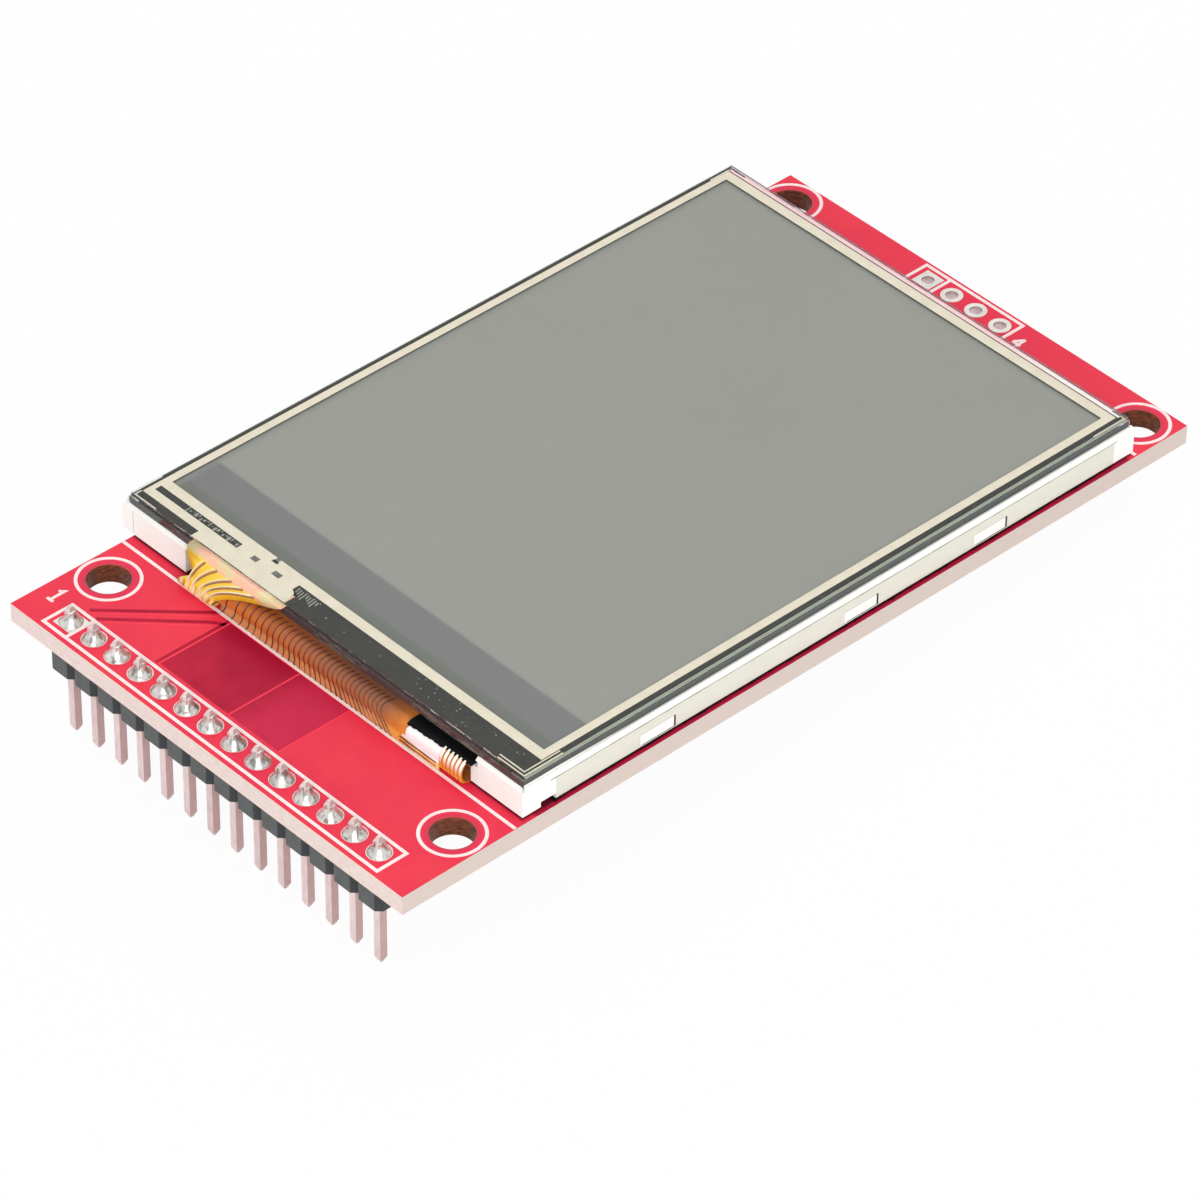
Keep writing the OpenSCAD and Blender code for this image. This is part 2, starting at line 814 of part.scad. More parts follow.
module touch_controller() {
    side_leads = [for (k = [0:7]) k - 3.5];
    color("black")
        translate([controller_spot[0], controller_spot[1], 0])
            leaded_chip(controller_body, [side_leads, side_leads], controller_pitch, controller_lead);
}

module small_transistor() {
    leaded_chip(transistor_body, [[-1, 1], [0]], transistor_pitch, transistor_lead);
}

module voltage_regulator() {
    color("black")
        translate([regulator_spot[0], regulator_spot[1], 0])
            rotate([0, 0, 90])
                small_transistor();
}

module backlight_transistor() {
    color("black")
        translate([transistor_spot[0], transistor_spot[1], 0])
            small_transistor();
}

// A block with a solder cap at each end
module small_block(spot, h) {
    translate([spot[0], spot[1], 0])
        rotate([0, 0, spot[2]])
            translate([-chip_size[0] / 2, -chip_size[1] / 2, -h])
                cube([chip_size[0], chip_size[1], h]);
}

module resistor(k) {
    color("black")
        small_block(RESISTOR_SPOTS[k - 1], 0.45);
}

module capacitor(k) {
    color("tan")
        small_block(CAPACITOR_SPOTS[k - 1], 0.8);
}

// ---- What is drawn ----

circuit_board();
header_strip();
header_solder();
row_pads();
for (k = [1:PIN_COUNT]) header_pin(k);
mounting_tape();
panel_frame();
backlight_pan();
reflector_sheet();
light_guide();
for (k = [1:LED_COUNT]) backlight_led(k);
backlight_flex();
diffuser_sheet();
lower_prism_sheet();
upper_prism_sheet();
rear_polarizer();
rear_glass();
driver_chip();
display_flex();
tail_tape();
light_shield_tape();
front_glass();
front_polarizer();
touch_gasket();
touch_glass();
touch_spacer();
touch_flex();
touch_film();
card_socket_base();
card_socket_shell();
card_contacts();
touch_controller();
voltage_regulator();
backlight_transistor();
for (k = [1:len(RESISTOR_SPOTS)]) resistor(k);
for (k = [1:len(CAPACITOR_SPOTS)]) capacitor(k);
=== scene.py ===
import bpy
import bmesh
import math
from mathutils import Matrix, Vector
from mathutils.bvhtree import BVHTree


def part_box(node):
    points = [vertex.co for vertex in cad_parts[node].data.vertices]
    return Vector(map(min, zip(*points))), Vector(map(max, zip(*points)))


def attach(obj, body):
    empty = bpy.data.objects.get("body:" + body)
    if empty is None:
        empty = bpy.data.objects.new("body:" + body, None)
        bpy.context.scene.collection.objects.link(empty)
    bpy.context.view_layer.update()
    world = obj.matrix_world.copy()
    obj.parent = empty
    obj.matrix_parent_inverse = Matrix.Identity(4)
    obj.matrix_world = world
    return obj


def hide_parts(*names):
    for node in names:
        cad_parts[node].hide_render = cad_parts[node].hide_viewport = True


# Display module with a touch panel on a red board. Lengths in this script are millimetres, and every mesh
# is brought to metres as it is made. Colours are given as seen on screen, from 0 to 255.

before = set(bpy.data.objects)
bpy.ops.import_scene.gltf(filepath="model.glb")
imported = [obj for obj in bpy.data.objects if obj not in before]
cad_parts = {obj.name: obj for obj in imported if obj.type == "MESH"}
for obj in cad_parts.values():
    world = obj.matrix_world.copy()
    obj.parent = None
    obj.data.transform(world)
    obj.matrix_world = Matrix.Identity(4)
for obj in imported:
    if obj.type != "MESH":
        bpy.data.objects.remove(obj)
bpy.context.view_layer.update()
mm = 0.001
fullTurn = 2 * math.pi
scene = bpy.context.scene
print("frame loaded:", len(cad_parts), "nodes")


def boxOf(name):
    low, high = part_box(name)
    return low / mm, high / mm


def show(name, mesh):
    piece = bpy.data.objects.new(name, mesh)
    scene.collection.objects.link(piece)
    return piece


def settle(piece, slotName, *replaced):
    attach(piece, "root")
    if replaced:
        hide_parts(*replaced)
    return piece


def dress(material, *names):
    for name in names:
        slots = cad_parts[name].data.materials
        slots.clear()
        slots.append(material)


def rect(x0, y0, x1, y1):
    return [(x0, y0), (x1, y0), (x1, y1), (x0, y1)]


def circle(x, y, radius, count=64):
    turn = fullTurn / count
    return [(x + radius * math.cos(i * turn), y + radius * math.sin(i * turn)) for i in range(count)]


def limit(value):
    return min(1.0, max(0.0, value))


class Form:
    # points and faces that are gathered for one mesh

    def __init__(self):
        self.points, self.faces = [], []

    def loft(self, rings, closed=False):
        # joins rings that have equally many points, and caps both ends
        first, count = len(self.points), len(rings[0])
        last = first + (len(rings) - 1) * count
        for ring in rings:
            self.points += ring
        for r in range(len(rings) if closed else len(rings) - 1):
            a, b = first + r * count, first + (r + 1) % len(rings) * count
            self.faces += [(a + k, a + (k + 1) % count, b + (k + 1) % count, b + k) for k in range(count)]
        if not closed:
            self.faces += [tuple(range(first, first + count))[::-1], tuple(range(last, last + count))]
        return self

    def plate(self, outline, low, high):
        # a flat plate with any simple outline
        return self.loft([[(x, y, z) for x, y in outline] for z in (low, high)])

    def ring(self, outer, inner, low, high):
        # a flat ring between two rectangles
        corners = zip(rect(*outer), rect(*inner))
        return self.loft([[(*a, low), (*b, low), (*b, high), (*a, high)] for a, b in corners], closed=True)

    def stroke(self, path, width, low, high, closed=False):
        # a mitred ribbon of rectangular section along a flat path
        spots = [Vector(p).to_2d() for p in path]
        count, rings = len(path), []
        for i, here in enumerate(spots):
            ahead = spots[(i + 1) % count] if closed or i < count - 1 else None
            behind = spots[i - 1] if closed or i > 0 else None
            inward = (here - behind).normalized() if behind is not None else (ahead - here).normalized()
            onward = (ahead - here).normalized() if ahead is not None else inward
            sideIn, sideOn = Vector((-inward.y, inward.x)), Vector((-onward.y, onward.x))
            mitre = (sideIn + sideOn).normalized()
            reach = mitre * (width / 2 / max(mitre.dot(sideIn), 0.35))
            left, right = here + reach, here - reach
            rings.append([(*left, low), (*right, low), (*right, high), (*left, high)])
        return self.loft(rings, closed)

    def sheet(self, rows, thickness):
        # a closed thin sheet from rows of surface points and their normals
        first, across, count = len(self.points), len(rows[0]), len(rows) * len(rows[0])
        for depth in (0.0, thickness):
            self.points += [tuple(spot - normal * depth) for row in rows for spot, normal in row]
        for r in range(len(rows) - 1):
            for c in range(across - 1):
                a = first + r * across + c
                self.faces.append((a, a + 1, a + across + 1, a + across))
                self.faces.append((a + count, a + count + across, a + count + across + 1, a + count + 1))
        rim = [r * across for r in range(len(rows))] + [count - across + c for c in range(1, across)]
        rim += [r * across + across - 1 for r in range(len(rows) - 2, -1, -1)] + list(range(across - 2, 0, -1))
        self.faces += [(first + a, first + b, first + count + b, first + count + a)
                       for a, b in zip(rim, rim[1:] + rim[:1])]
        return self

    def piece(self, name, material=None, smooth=False):
        mesh = bpy.data.meshes.new(name)
        mesh.from_pydata([tuple(c * mm for c in p) for p in self.points], [], self.faces)
        work = bmesh.new()
        work.from_mesh(mesh)
        bmesh.ops.recalc_face_normals(work, faces=work.faces)
        for side in work.faces:
            side.smooth = smooth
        work.to_mesh(mesh)
        work.free()
        if material:
            mesh.materials.append(material)
        return show(name, mesh)

    def make(self, name, material, slotName, *replaced, smooth=False):
        return settle(self.piece(name, material, smooth), slotName, *replaced)


def mergedCopy(source):
    work = bmesh.new()
    work.from_mesh(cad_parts[source].data)
    bmesh.ops.remove_doubles(work, verts=work.verts, dist=1e-7)
    return work


def pieceFrom(work, name, material):
    mesh = bpy.data.meshes.new(name)
    work.to_mesh(mesh)
    work.free()
    mesh.materials.append(material)
    return show(name, mesh)


def bevelEdges(piece, width):
    bevel = piece.modifiers.new("edges", "BEVEL")
    bevel.width = width * mm
    bevel.segments = 2
    bevel.limit_method = "ANGLE"
    bevel.angle_limit = math.radians(35)


def softenedCopy(name, source, width, material, slotName):
    # takes the place of a CAD node, with its sharp edges taken off
    work = mergedCopy(source)
    bmesh.ops.dissolve_limit(work, angle_limit=0.01, verts=work.verts, edges=work.edges)
    bmesh.ops.recalc_face_normals(work, faces=work.faces)
    piece = pieceFrom(work, name, material)
    bevelEdges(piece, width)
    settle(piece, slotName, source)


def tint(red, green, blue):
    # a colour as seen on screen, turned into the linear one that Blender works in
    shares = [part / 255.0 for part in (red, green, blue)]
    return (*[s / 12.92 if s <= 0.04045 else ((s + 0.055) / 1.055) ** 2.4 for s in shares], 1.0)


def feed(tree, socket, value):
    if isinstance(value, bpy.types.NodeSocket):
        tree.links.new(value, socket)
    elif socket.type == "RGBA" and len(value) == 3:
        socket.default_value = tint(*value)
    else:
        socket.default_value = value


def addNode(tree, kind, inputs=None, **values):
    # a node with its settings and inputs, which hands back its outputs
    made = tree.nodes.new(kind)
    for key, value in values.items():
        setattr(made, key, value)
    for key, value in (inputs or {}).items():
        feed(tree, made.inputs[key], value)
    return made.outputs


def calc(tree, operation, first, second, clamp=False):
    return addNode(tree, "ShaderNodeMath", {0: first, 1: second}, operation=operation, use_clamp=clamp)[0]


def times(tree, first, second):
    return calc(tree, "MULTIPLY", first, second)


def absolute(tree, value):
    return addNode(tree, "ShaderNodeMath", {0: value}, operation="ABSOLUTE")[0]


def vectors(tree, operation, *inputs):
    return addNode(tree, "ShaderNodeVectorMath", dict(enumerate(inputs)), operation=operation)


def mix(tree, share, first, second):
    return addNode(tree, "ShaderNodeMix", {0: share, 6: first, 7: second}, data_type="RGBA")[2]


def span(tree, value, fromLow, fromHigh, toLow=0.0, toHigh=1.0):
    return addNode(tree, "ShaderNodeMapRange", {"Value": value, "From Min": fromLow, "From Max": fromHigh,
                                                "To Min": toLow, "To Max": toHigh})[0]


def noise(tree, vector, scale=1.0, detail=2.0):
    return addNode(tree, "ShaderNodeTexNoise", {"Vector": vector, "Scale": scale, "Detail": detail})[0]


def place(tree, stretch=(1, 1, 1)):
    # the object's own coordinates in millimetres, stretched where wanted
    own = addNode(tree, "ShaderNodeTexCoord")["Object"]
    return addNode(tree, "ShaderNodeMapping", {"Vector": own, "Scale": tuple(1000 * s for s in stretch)})[0]


def axes(tree, vector=None):
    # x, y and z of a vector, or else of the place on the object
    return addNode(tree, "ShaderNodeSeparateXYZ", {0: vector or place(tree)})


def facing(tree):
    return axes(tree, addNode(tree, "ShaderNodeNewGeometry")["Normal"])


def steepness(tree):
    # 1 on walls, 0 on level faces
    return span(tree, absolute(tree, facing(tree)[2]), 0.3, 0.7, 1.0, 0.0)


def newTree(kind, name, inputs, outputs):
    tree = bpy.data.node_groups.new(name, kind)
    for way, sockets in (("INPUT", inputs), ("OUTPUT", outputs)):
        for label, sort, *value in sockets:
            socket = tree.interface.new_socket(label, in_out=way, socket_type="NodeSocket" + sort)
            if value:
                socket.default_value = value[0]
    return tree, tree.nodes.new("NodeGroupInput").outputs, tree.nodes.new("NodeGroupOutput").inputs


def buildGrain():
    # fine unevenness: a share for mixing two colours, a roughness and a height
    tree, entry, leave = newTree("ShaderNodeTree", "grain", [
        ("Point", "Vector"), ("Scale", "Float", 4.0), ("Smooth", "Float", 0.3), ("Rough", "Float", 0.5)],
        [("Share", "Float"), ("Roughness", "Float"), ("Height", "Float")])
    fine = noise(tree, entry["Point"], entry["Scale"], 5.0)
    broad = noise(tree, entry["Point"], times(tree, entry["Scale"], 0.13))
    both = calc(tree, "ADD", times(tree, fine, 0.45), times(tree, broad, 0.55))
    feed(tree, leave["Share"], span(tree, both, 0.35, 0.65))
    feed(tree, leave["Roughness"], span(tree, fine, 0.3, 0.7, entry["Smooth"], entry["Rough"]))
    feed(tree, leave["Height"], fine)
    return tree


def buildBoxMask():
    # 1 inside a box and 0 outside it, with a soft border
    tree, entry, leave = newTree("ShaderNodeTree", "boxMask", [
        ("Point", "Vector"), ("Centre", "Vector"), ("Half", "Vector"), ("Soft", "Float", 0.02)],
        [("Mask", "Float")])
    away = vectors(tree, "ABSOLUTE", vectors(tree, "SUBTRACT", entry["Point"], entry["Centre"])[0])[0]
    x, y, z = axes(tree, vectors(tree, "SUBTRACT", away, entry["Half"])[0])
    most = calc(tree, "MAXIMUM", calc(tree, "MAXIMUM", x, y), z)
    feed(tree, leave["Mask"], span(tree, calc(tree, "DIVIDE", most, entry["Soft"]), -1.0, 1.0, 1.0, 0.0))
    return tree


def buildSpecks():
    # scattered small marks
    tree, entry, leave = newTree("ShaderNodeTree", "specks", [
        ("Point", "Vector"), ("Scale", "Float", 2.0), ("Size", "Float", 0.1), ("Share", "Float", 0.3)],
        [("Mask", "Float")])
    cells = addNode(tree, "ShaderNodeTexVoronoi", {"Vector": entry["Point"], "Scale": entry["Scale"]})
    draws = addNode(tree, "ShaderNodeSeparateColor", {0: cells["Color"]})
    chosen = calc(tree, "LESS_THAN", draws[0], entry["Share"])
    reach = times(tree, entry["Size"], calc(tree, "ADD", draws[1], 0.3))
    feed(tree, leave["Mask"], times(tree, chosen, calc(tree, "LESS_THAN", cells["Distance"], reach)))
    return tree


grainGroup = buildGrain()
boxMaskGroup = buildBoxMask()
specksGroup = buildSpecks()


def useGroup(tree, group, **inputs):
    return addNode(tree, "ShaderNodeGroup", inputs, node_tree=group)


def inBox(tree, low, high, soft=0.02):
    centre = [(a + b) / 2 for a, b in zip(low, high)]
    half = [(b - a) / 2 for a, b in zip(low, high)]
    return useGroup(tree, boxMaskGroup, Point=place(tree), Centre=centre, Half=half, Soft=soft)["Mask"]


def newMaterial(name):
    material = bpy.data.materials.new(name)
    material.use_nodes = True
    return material, material.node_tree, material.node_tree.nodes["Principled BSDF"]


def finish(name, light, dark, paint=None, scale=4.0, smooth=0.3, rough=0.5, bump=0.15, depth=0.01,
           stretch=(1, 1, 1), metallic=0.0, coat=0.0, specular=0.5):
    # two close colours, uneven gloss and a fine relief; paint may work the mixed colour further
    material, tree, shader = newMaterial(name)
    grain = useGroup(tree, grainGroup, Point=place(tree, stretch), Scale=scale, Smooth=smooth, Rough=rough)
    colour = mix(tree, grain["Share"], light, dark)
    relief = addNode(tree, "ShaderNodeBump", {"Strength": bump, "Distance": depth * mm,
                                              "Height": grain["Height"]})[0]
    for label, value in (("Base Color", paint(tree, colour) if paint else colour),
                         ("Roughness", grain["Roughness"]), ("Normal", relief), ("Metallic", metallic),
                         ("Coat Weight", coat), ("Specular IOR Level", specular)):
        feed(tree, shader.inputs[label], value)
    return material


def geometryTree(name, *inputs):
    return newTree("GeometryNodeTree", name, [("Geometry", "Geometry"), *inputs, ("Material", "Material")],
                   [("Geometry", "Geometry")])


def closeTree(tree, entry, leave, last):
    # every tree ends alike: real geometry with its material
    real = addNode(tree, "GeometryNodeRealizeInstances", {0: last})[0]
    feed(tree, leave[0], addNode(tree, "GeometryNodeSetMaterial", {"Geometry": real,
                                                                  "Material": entry["Material"]})[0])
    return tree


def spread(tree, entry, spots, turn, turnSeed):
    # copies of the model on every point, each turned and sized a little differently
    angle = addNode(tree, "FunctionNodeRandomValue", {2: 0.0, 3: turn, "Seed": turnSeed}, data_type="FLOAT")[1]
    share = addNode(tree, "FunctionNodeRandomValue", {2: entry["Smallest"], 3: entry["Largest"],
                                                      "Seed": entry["Seed"]}, data_type="FLOAT")[1]
    return addNode(tree, "GeometryNodeInstanceOnPoints", {
        "Points": spots, "Instance": addNode(tree, "GeometryNodeObjectInfo", {"Object": entry["Model"]})["Geometry"],
        "Rotation": addNode(tree, "ShaderNodeCombineXYZ", {2: angle})[0], "Scale": share})[0]


def buildSweep():
    # a round wire along every path
    tree, entry, leave = geometryTree("sweep", ("Radius", "Float", 0.0001), ("Sides", "Int", 8))
    path = addNode(tree, "GeometryNodeMeshToCurve", {0: entry["Geometry"]})[0]
    section = addNode(tree, "GeometryNodeCurvePrimitiveCircle", {"Resolution": entry["Sides"],
                                                                 "Radius": entry["Radius"]})[0]
    solid = addNode(tree, "GeometryNodeCurveToMesh", {"Curve": path, "Profile Curve": section,
                                                      "Fill Caps": True})[0]
    return closeTree(tree, entry, leave, addNode(tree, "GeometryNodeSetShadeSmooth", {"Geometry": solid})[0])


def buildRepeat():
    # copies on points, with a ripple that pushes their surface in and out
    tree, entry, leave = geometryTree(
        "repeat", ("Model", "Object"), ("Smallest", "Float", 1.0), ("Largest", "Float", 1.0), ("Turn", "Float", 0.0),
        ("Ripple", "Float", 0.0), ("Ripple Scale", "Float", 900.0), ("Seed", "Int", 0))
    real = addNode(tree, "GeometryNodeRealizeInstances", {
        0: spread(tree, entry, entry["Geometry"], entry["Turn"], entry["Seed"])})[0]
    wave = addNode(tree, "ShaderNodeTexNoise", {"Scale": entry["Ripple Scale"]})[0]
    push = addNode(tree, "ShaderNodeVectorMath", {
        0: addNode(tree, "GeometryNodeInputNormal")[0],
        "Scale": times(tree, calc(tree, "SUBTRACT", wave, 0.5), entry["Ripple"])}, operation="SCALE")[0]
    return closeTree(tree, entry, leave, addNode(tree, "GeometryNodeSetPosition", {"Geometry": real,
                                                                                  "Offset": push})[0])


def buildScatter():
    # small copies strewn over a surface
    tree, entry, leave = geometryTree(
        "scatter", ("Model", "Object"), ("Density", "Float", 1e6), ("Smallest", "Float", 0.4),
        ("Largest", "Float", 1.2), ("Seed", "Int", 0))
    strew = addNode(tree, "GeometryNodeDistributePointsOnFaces", {
        "Mesh": entry["Geometry"], "Density": entry["Density"], "Seed": entry["Seed"]})["Points"]
    return closeTree(tree, entry, leave, spread(tree, entry, strew, 6.28, 0))


sweepTree = buildSweep()
repeatTree = buildRepeat()
scatterTree = buildScatter()


def grow(name, points, edges, tree, values, faces=()):
    # runs a tree on points, paths or faces, and keeps the plain mesh
    seedMesh = bpy.data.meshes.new(name + ".seed")
    seedMesh.from_pydata([tuple(c * mm for c in p) for p in points], edges, faces)
    seed = show(name + ".seed", seedMesh)
    modifier = seed.modifiers.new("grow", "NODES")
    modifier.node_group = tree
    for item in tree.interface.items_tree:
        if item.item_type == "SOCKET" and item.in_out == "INPUT" and item.name in values:
            modifier[item.identifier] = values[item.name]
    graph = bpy.context.evaluated_depsgraph_get()
    mesh = bpy.data.meshes.new_from_object(seed.evaluated_get(graph), depsgraph=graph)
    mesh.name = name
    seed.modifiers.clear()
    bpy.data.objects.remove(seed)
    return show(name, mesh)


def sweepPaths(name, slotName, paths, radius, material, sides=8):
    points, edges = [], []
    for path in paths:
        edges += [(len(points) + i, len(points) + i + 1) for i in range(len(path) - 1)]
        points += [tuple(p) for p in path]
    settle(grow(name, points, edges, sweepTree, {"Radius": radius * mm, "Sides": sides, "Material": material}),
           slotName)


def growCopies(name, model, spots, material, values, tree=repeatTree, faces=()):
    # the model itself is taken away again
    piece = grow(name, spots, [], tree, {"Model": model, "Material": material, **values}, faces)
    bpy.data.objects.remove(model)
    return piece


def turnedModel(name, profile, count=24):
    # a closed round solid from its radius and height pairs
    rings = [[(x, y, height) for x, y in circle(0, 0, radius, count)] for radius, height in profile]
    return Form().loft(rings).piece(name, smooth=True)


view = {"turn": 46.79, "tilt": 39.637, "roll": 0.716, "lens": 206.49, "distance": 499.55,
        "aim": (1.319, -4.208, -4.639)}
studio = {"sky": 0.62, "keyPower": 1.15, "keySize": 520, "keySpot": (-240, 210, 640), "fillPower": 2.35,
          "fillSize": 420, "fillSpot": (430, -400, 300), "paper": 0.95, "floorReach": 900, "floorGap": 0.01}

turn, tilt = math.radians(view["turn"]), math.radians(view["tilt"])
outward = Vector((math.cos(tilt) * math.sin(turn), -math.cos(tilt) * math.cos(turn), math.sin(tilt)))
camera = bpy.data.objects.new("camera", bpy.data.cameras.new("camera"))
camera.data.lens = view["lens"]
camera.data.sensor_width = 36
camera.data.clip_start = 0.01
camera.data.clip_end = 20
stand = Matrix.Rotation(turn, 4, "Z") @ Matrix.Rotation(math.pi / 2 - tilt, 4, "X") \
    @ Matrix.Rotation(math.radians(view["roll"]), 4, "Z")
camera.matrix_world = Matrix.Translation((Vector(view["aim"]) + outward * view["distance"]) * mm) @ stand
scene.collection.objects.link(camera)
scene.camera = camera
scene.view_settings.view_transform = "Standard"


def softbox(name, power, width, spot):
    lamp = bpy.data.lights.new(name, "AREA")
    lamp.shape = "SQUARE"
    lamp.size = width * mm
    lamp.energy = power
    box = bpy.data.objects.new(name, lamp)
    away = Vector(spot).normalized().to_track_quat("Z", "Y").to_matrix().to_4x4()
    box.matrix_world = Matrix.Translation(Vector(spot) * mm) @ away
    scene.collection.objects.link(box)


softbox("keyLight", studio["keyPower"], studio["keySize"], studio["keySpot"])
softbox("fillLight", studio["fillPower"], studio["fillSize"], studio["fillSpot"])


def seenDirectly(tree):
    rays = addNode(tree, "ShaderNodeLightPath")
    plain = calc(tree, "MAXIMUM", rays["Is Camera Ray"], rays["Is Glossy Ray"])
    return calc(tree, "MAXIMUM", plain, rays["Is Transmission Ray"])


def either(tree, share, first, second):
    return addNode(tree, "ShaderNodeMixShader", {0: share, 1: first, 2: second})[0]


# the sky is dimmer as a light than as a background
world = bpy.data.worlds.new("studio")
scene.world = world
world.use_nodes = True
tree = world.node_tree
tree.nodes.clear()
lit, white = [addNode(tree, "ShaderNodeBackground", {"Color": (1, 1, 1, 1), "Strength": strength})[0]
              for strength in (studio["sky"], 1.0)]
addNode(tree, "ShaderNodeOutputWorld", {0: either(tree, seenDirectly(tree), lit, white)})

# the module stands on its pin tips and on the far edge of the card socket, so the floor leans to meet them
tipLow, tipHigh = boxOf("header_pin_1")
shellLow, shellHigh = boxOf("card_socket_shell")
contactY = (tipLow.y + tipHigh.y) / 2
slope = (shellLow.z - tipLow.z) / (shellHigh.y - contactY)


def paperMaterial():
    material, tree, shader = newMaterial("paper")
    tree.nodes.clear()
    mottle = noise(tree, place(tree, (0.02, 0.02, 0.02)), 3.0)
    paper = addNode(tree, "ShaderNodeBsdfDiffuse", {
        "Color": mix(tree, mottle, (0.93, 0.93, 0.93, 1), (0.9, 0.9, 0.9, 1))})[0]
    glow = addNode(tree, "ShaderNodeEmission", {"Strength": 1.0})[0]
    shade = either(tree, times(tree, seenDirectly(tree), studio["paper"]), paper, glow)
    behind = addNode(tree, "ShaderNodeNewGeometry")["Backfacing"]
    clear = addNode(tree, "ShaderNodeBsdfTransparent")[0]
    addNode(tree, "ShaderNodeOutputMaterial", {0: either(tree, behind, shade, clear)})
    return material


reach = studio["floorReach"]
floorMesh = bpy.data.meshes.new("floor")
floorMesh.from_pydata([(x * mm, y * mm, (tipLow.z - studio["floorGap"] + slope * (y - contactY)) * mm)
                       for x, y in rect(-reach, -reach, reach, reach)], [], [(0, 1, 2, 3)])
floorMesh.materials.append(paperMaterial())
show("floor", floorMesh)
print("camera, lights and floor placed")


board = {"red": (240, 50, 72), "redDeep": (232, 38, 74), "edge": (236, 218, 210), "edgeDark": (226, 204, 198),
         "edgeRightShade": (208, 194, 184), "plated": (196, 184, 178), "holeBrown": (128, 66, 30), "holeDark": (66, 32, 24),
         "rim": (176, 74, 58), "halo": (214, 34, 84), "shade": (92, 4, 30), "strip": (180, 16, 58),
         "bounce": (240, 200, 200), "holeX": 18.4, "holeY": 33.8}
boardLow, boardHigh = boxOf("circuit_board")
top = boardHigh.z
holeSpots = [(sx * board["holeX"], sy * board["holeY"]) for sx in (-1, 1) for sy in (-1, 1)]
rowLow, rowHigh = boxOf("row_pads")


def paintBoard(tree, red):
    x, y, z = axes(tree)
    # glass fibre layers on the cut edge
    fibre = span(tree, noise(tree, place(tree, (1.6, 1.6, 5.0)), detail=4.0), 0.35, 0.65)
    edge = mix(tree, fibre, board["edge"], board["edgeDark"])
    # drilled walls of the mounting holes
    away = vectors(tree, "SUBTRACT", vectors(tree, "ABSOLUTE", place(tree))[0], (*holeSpots[-1], 0))[0]
    fromHole = vectors(tree, "LENGTH", vectors(tree, "MULTIPLY", away, (1, 1, 0))[0])["Value"]
    strands = noise(tree, place(tree, (2.2, 2.2, 7.0)), detail=5.0)
    wood = mix(tree, span(tree, strands, 0.38, 0.62), board["holeBrown"], board["holeDark"])
    wood = mix(tree, span(tree, z, top - 0.12, top - 0.02, 0.0, 0.6), wood, board["rim"])
    wall = mix(tree, span(tree, fromHole, 1.9, 2.0, 1.0, 0.0), edge, wood)
    # plated bores of the card row
    wall = mix(tree, inBox(tree, (rowLow.x, rowLow.y, -1), (rowHigh.x, rowHigh.y, 3)), wall, board["plated"])
    face = mix(tree, span(tree, fromHole, 1.9, 2.3, 0.55, 0.0), red, board["halo"])
    face = mix(tree, span(tree, fromHole, 1.7, 1.78, 0.7, 0.0), face, board["rim"])
    # deep shade under the panel, and a strip of it along the panel's long side
    low, high = boxOf("panel_frame")
    beside = inBox(tree, (high.x - 0.6, low.y + 1.0, 1), (boardHigh.x + 1, high.y - 0.6, 3), soft=0.15)
    face = mix(tree, beside, face, board["strip"])
    under = inBox(tree, (low.x + 0.05, low.y + 0.02, 1), (high.x - 0.05, high.y - 0.1, 3), soft=0.1)
    face = mix(tree, under, face, board["shade"])
    # painted shade: the long right edge is greyer, to even out the stronger light that falls on that side
    side = boardHigh.x
    wall = mix(tree, span(tree, x, side - 0.03, side - 0.01, 0.0, 0.8), wall, board["edgeRightShade"])
    both = mix(tree, steepness(tree), face, wall)
    # the light it throws on its neighbours is kept paler than the board itself
    bounce = times(tree, addNode(tree, "ShaderNodeLightPath")["Is Diffuse Ray"], 0.7)
    return mix(tree, bounce, both, board["bounce"])


dress(finish("boardRed", board["red"], board["redDeep"], paintBoard, scale=0.35, smooth=0.38, rough=0.48, bump=0.12,
             depth=0.02, specular=0.22), "circuit_board")

copper = {"red": (196, 22, 60), "deep": (158, 4, 44), "light": (222, 44, 82), "height": 0.012, "sink": 0.01,
          "edgeRise": 0.005, "nearY": -37.05, "farY": -30.55, "leftX": -8.75, "rightX": 3.9,
          "gaps": (([(-16.65, -37.0), (-16.0, -36.35), (-10.2, -30.3), (-9.4, -29.6)], 0.32),
                   ([(-15.6, -37.3), (-9.8, -31.45), (-8.9, -30.9)], 0.32), ([(-9.05, -29.8), (-9.1, -37.2)], 0.28)),
          "edges": (([(-1.35, -37.05), (-1.35, -30.55)], 0.14), ([(-8.82, -29.9), (-8.86, -37.2)], 0.13),
                    ([(3.98, -37.05), (3.98, -30.55)], 0.1), ([(-15.3, -37.5), (-9.55, -31.75)], 0.1),
                    ([(-16.25, -37.1), (-10.0, -30.75)], 0.1))}


def paintCopper(tree, colour):
    # painted shade: deeper towards the panel, where the panel's shadow and reflection fall, and lighter on its right
    # half
    x, y, z = axes(tree)
    shaded = mix(tree, span(tree, y, -36.5, -31.0, 0.0, 0.6), colour, copper["deep"])
    return mix(tree, span(tree, x, -2.2, 0.6, 0.0, 0.6), shaded, copper["light"])


copperRed = finish("copperUnderMask", copper["red"], copper["deep"], paintCopper, scale=0.5, smooth=0.36, rough=0.46,
                   bump=0.1, depth=0.02, specular=0.12)
brightRed = finish("maskOverEdge", (252, 66, 82), (246, 52, 76), scale=0.6, smooth=0.35, rough=0.45, bump=0.1,
                   depth=0.02, specular=0.2)
low, high = top - copper["sink"], top + copper["height"]
pour = Form().plate(rect(copper["leftX"], copper["nearY"], copper["rightX"], copper["farY"]), low, high)
for path, width in copper["gaps"]:
    pour.stroke(path, width, low, high)
pour.make("copperPour", copperRed, "board_red")
edges = Form()
for path, width in copper["edges"]:
    edges.stroke(path, width, low, high + copper["edgeRise"])
edges.make("copperEdges", brightRed, "board_red")

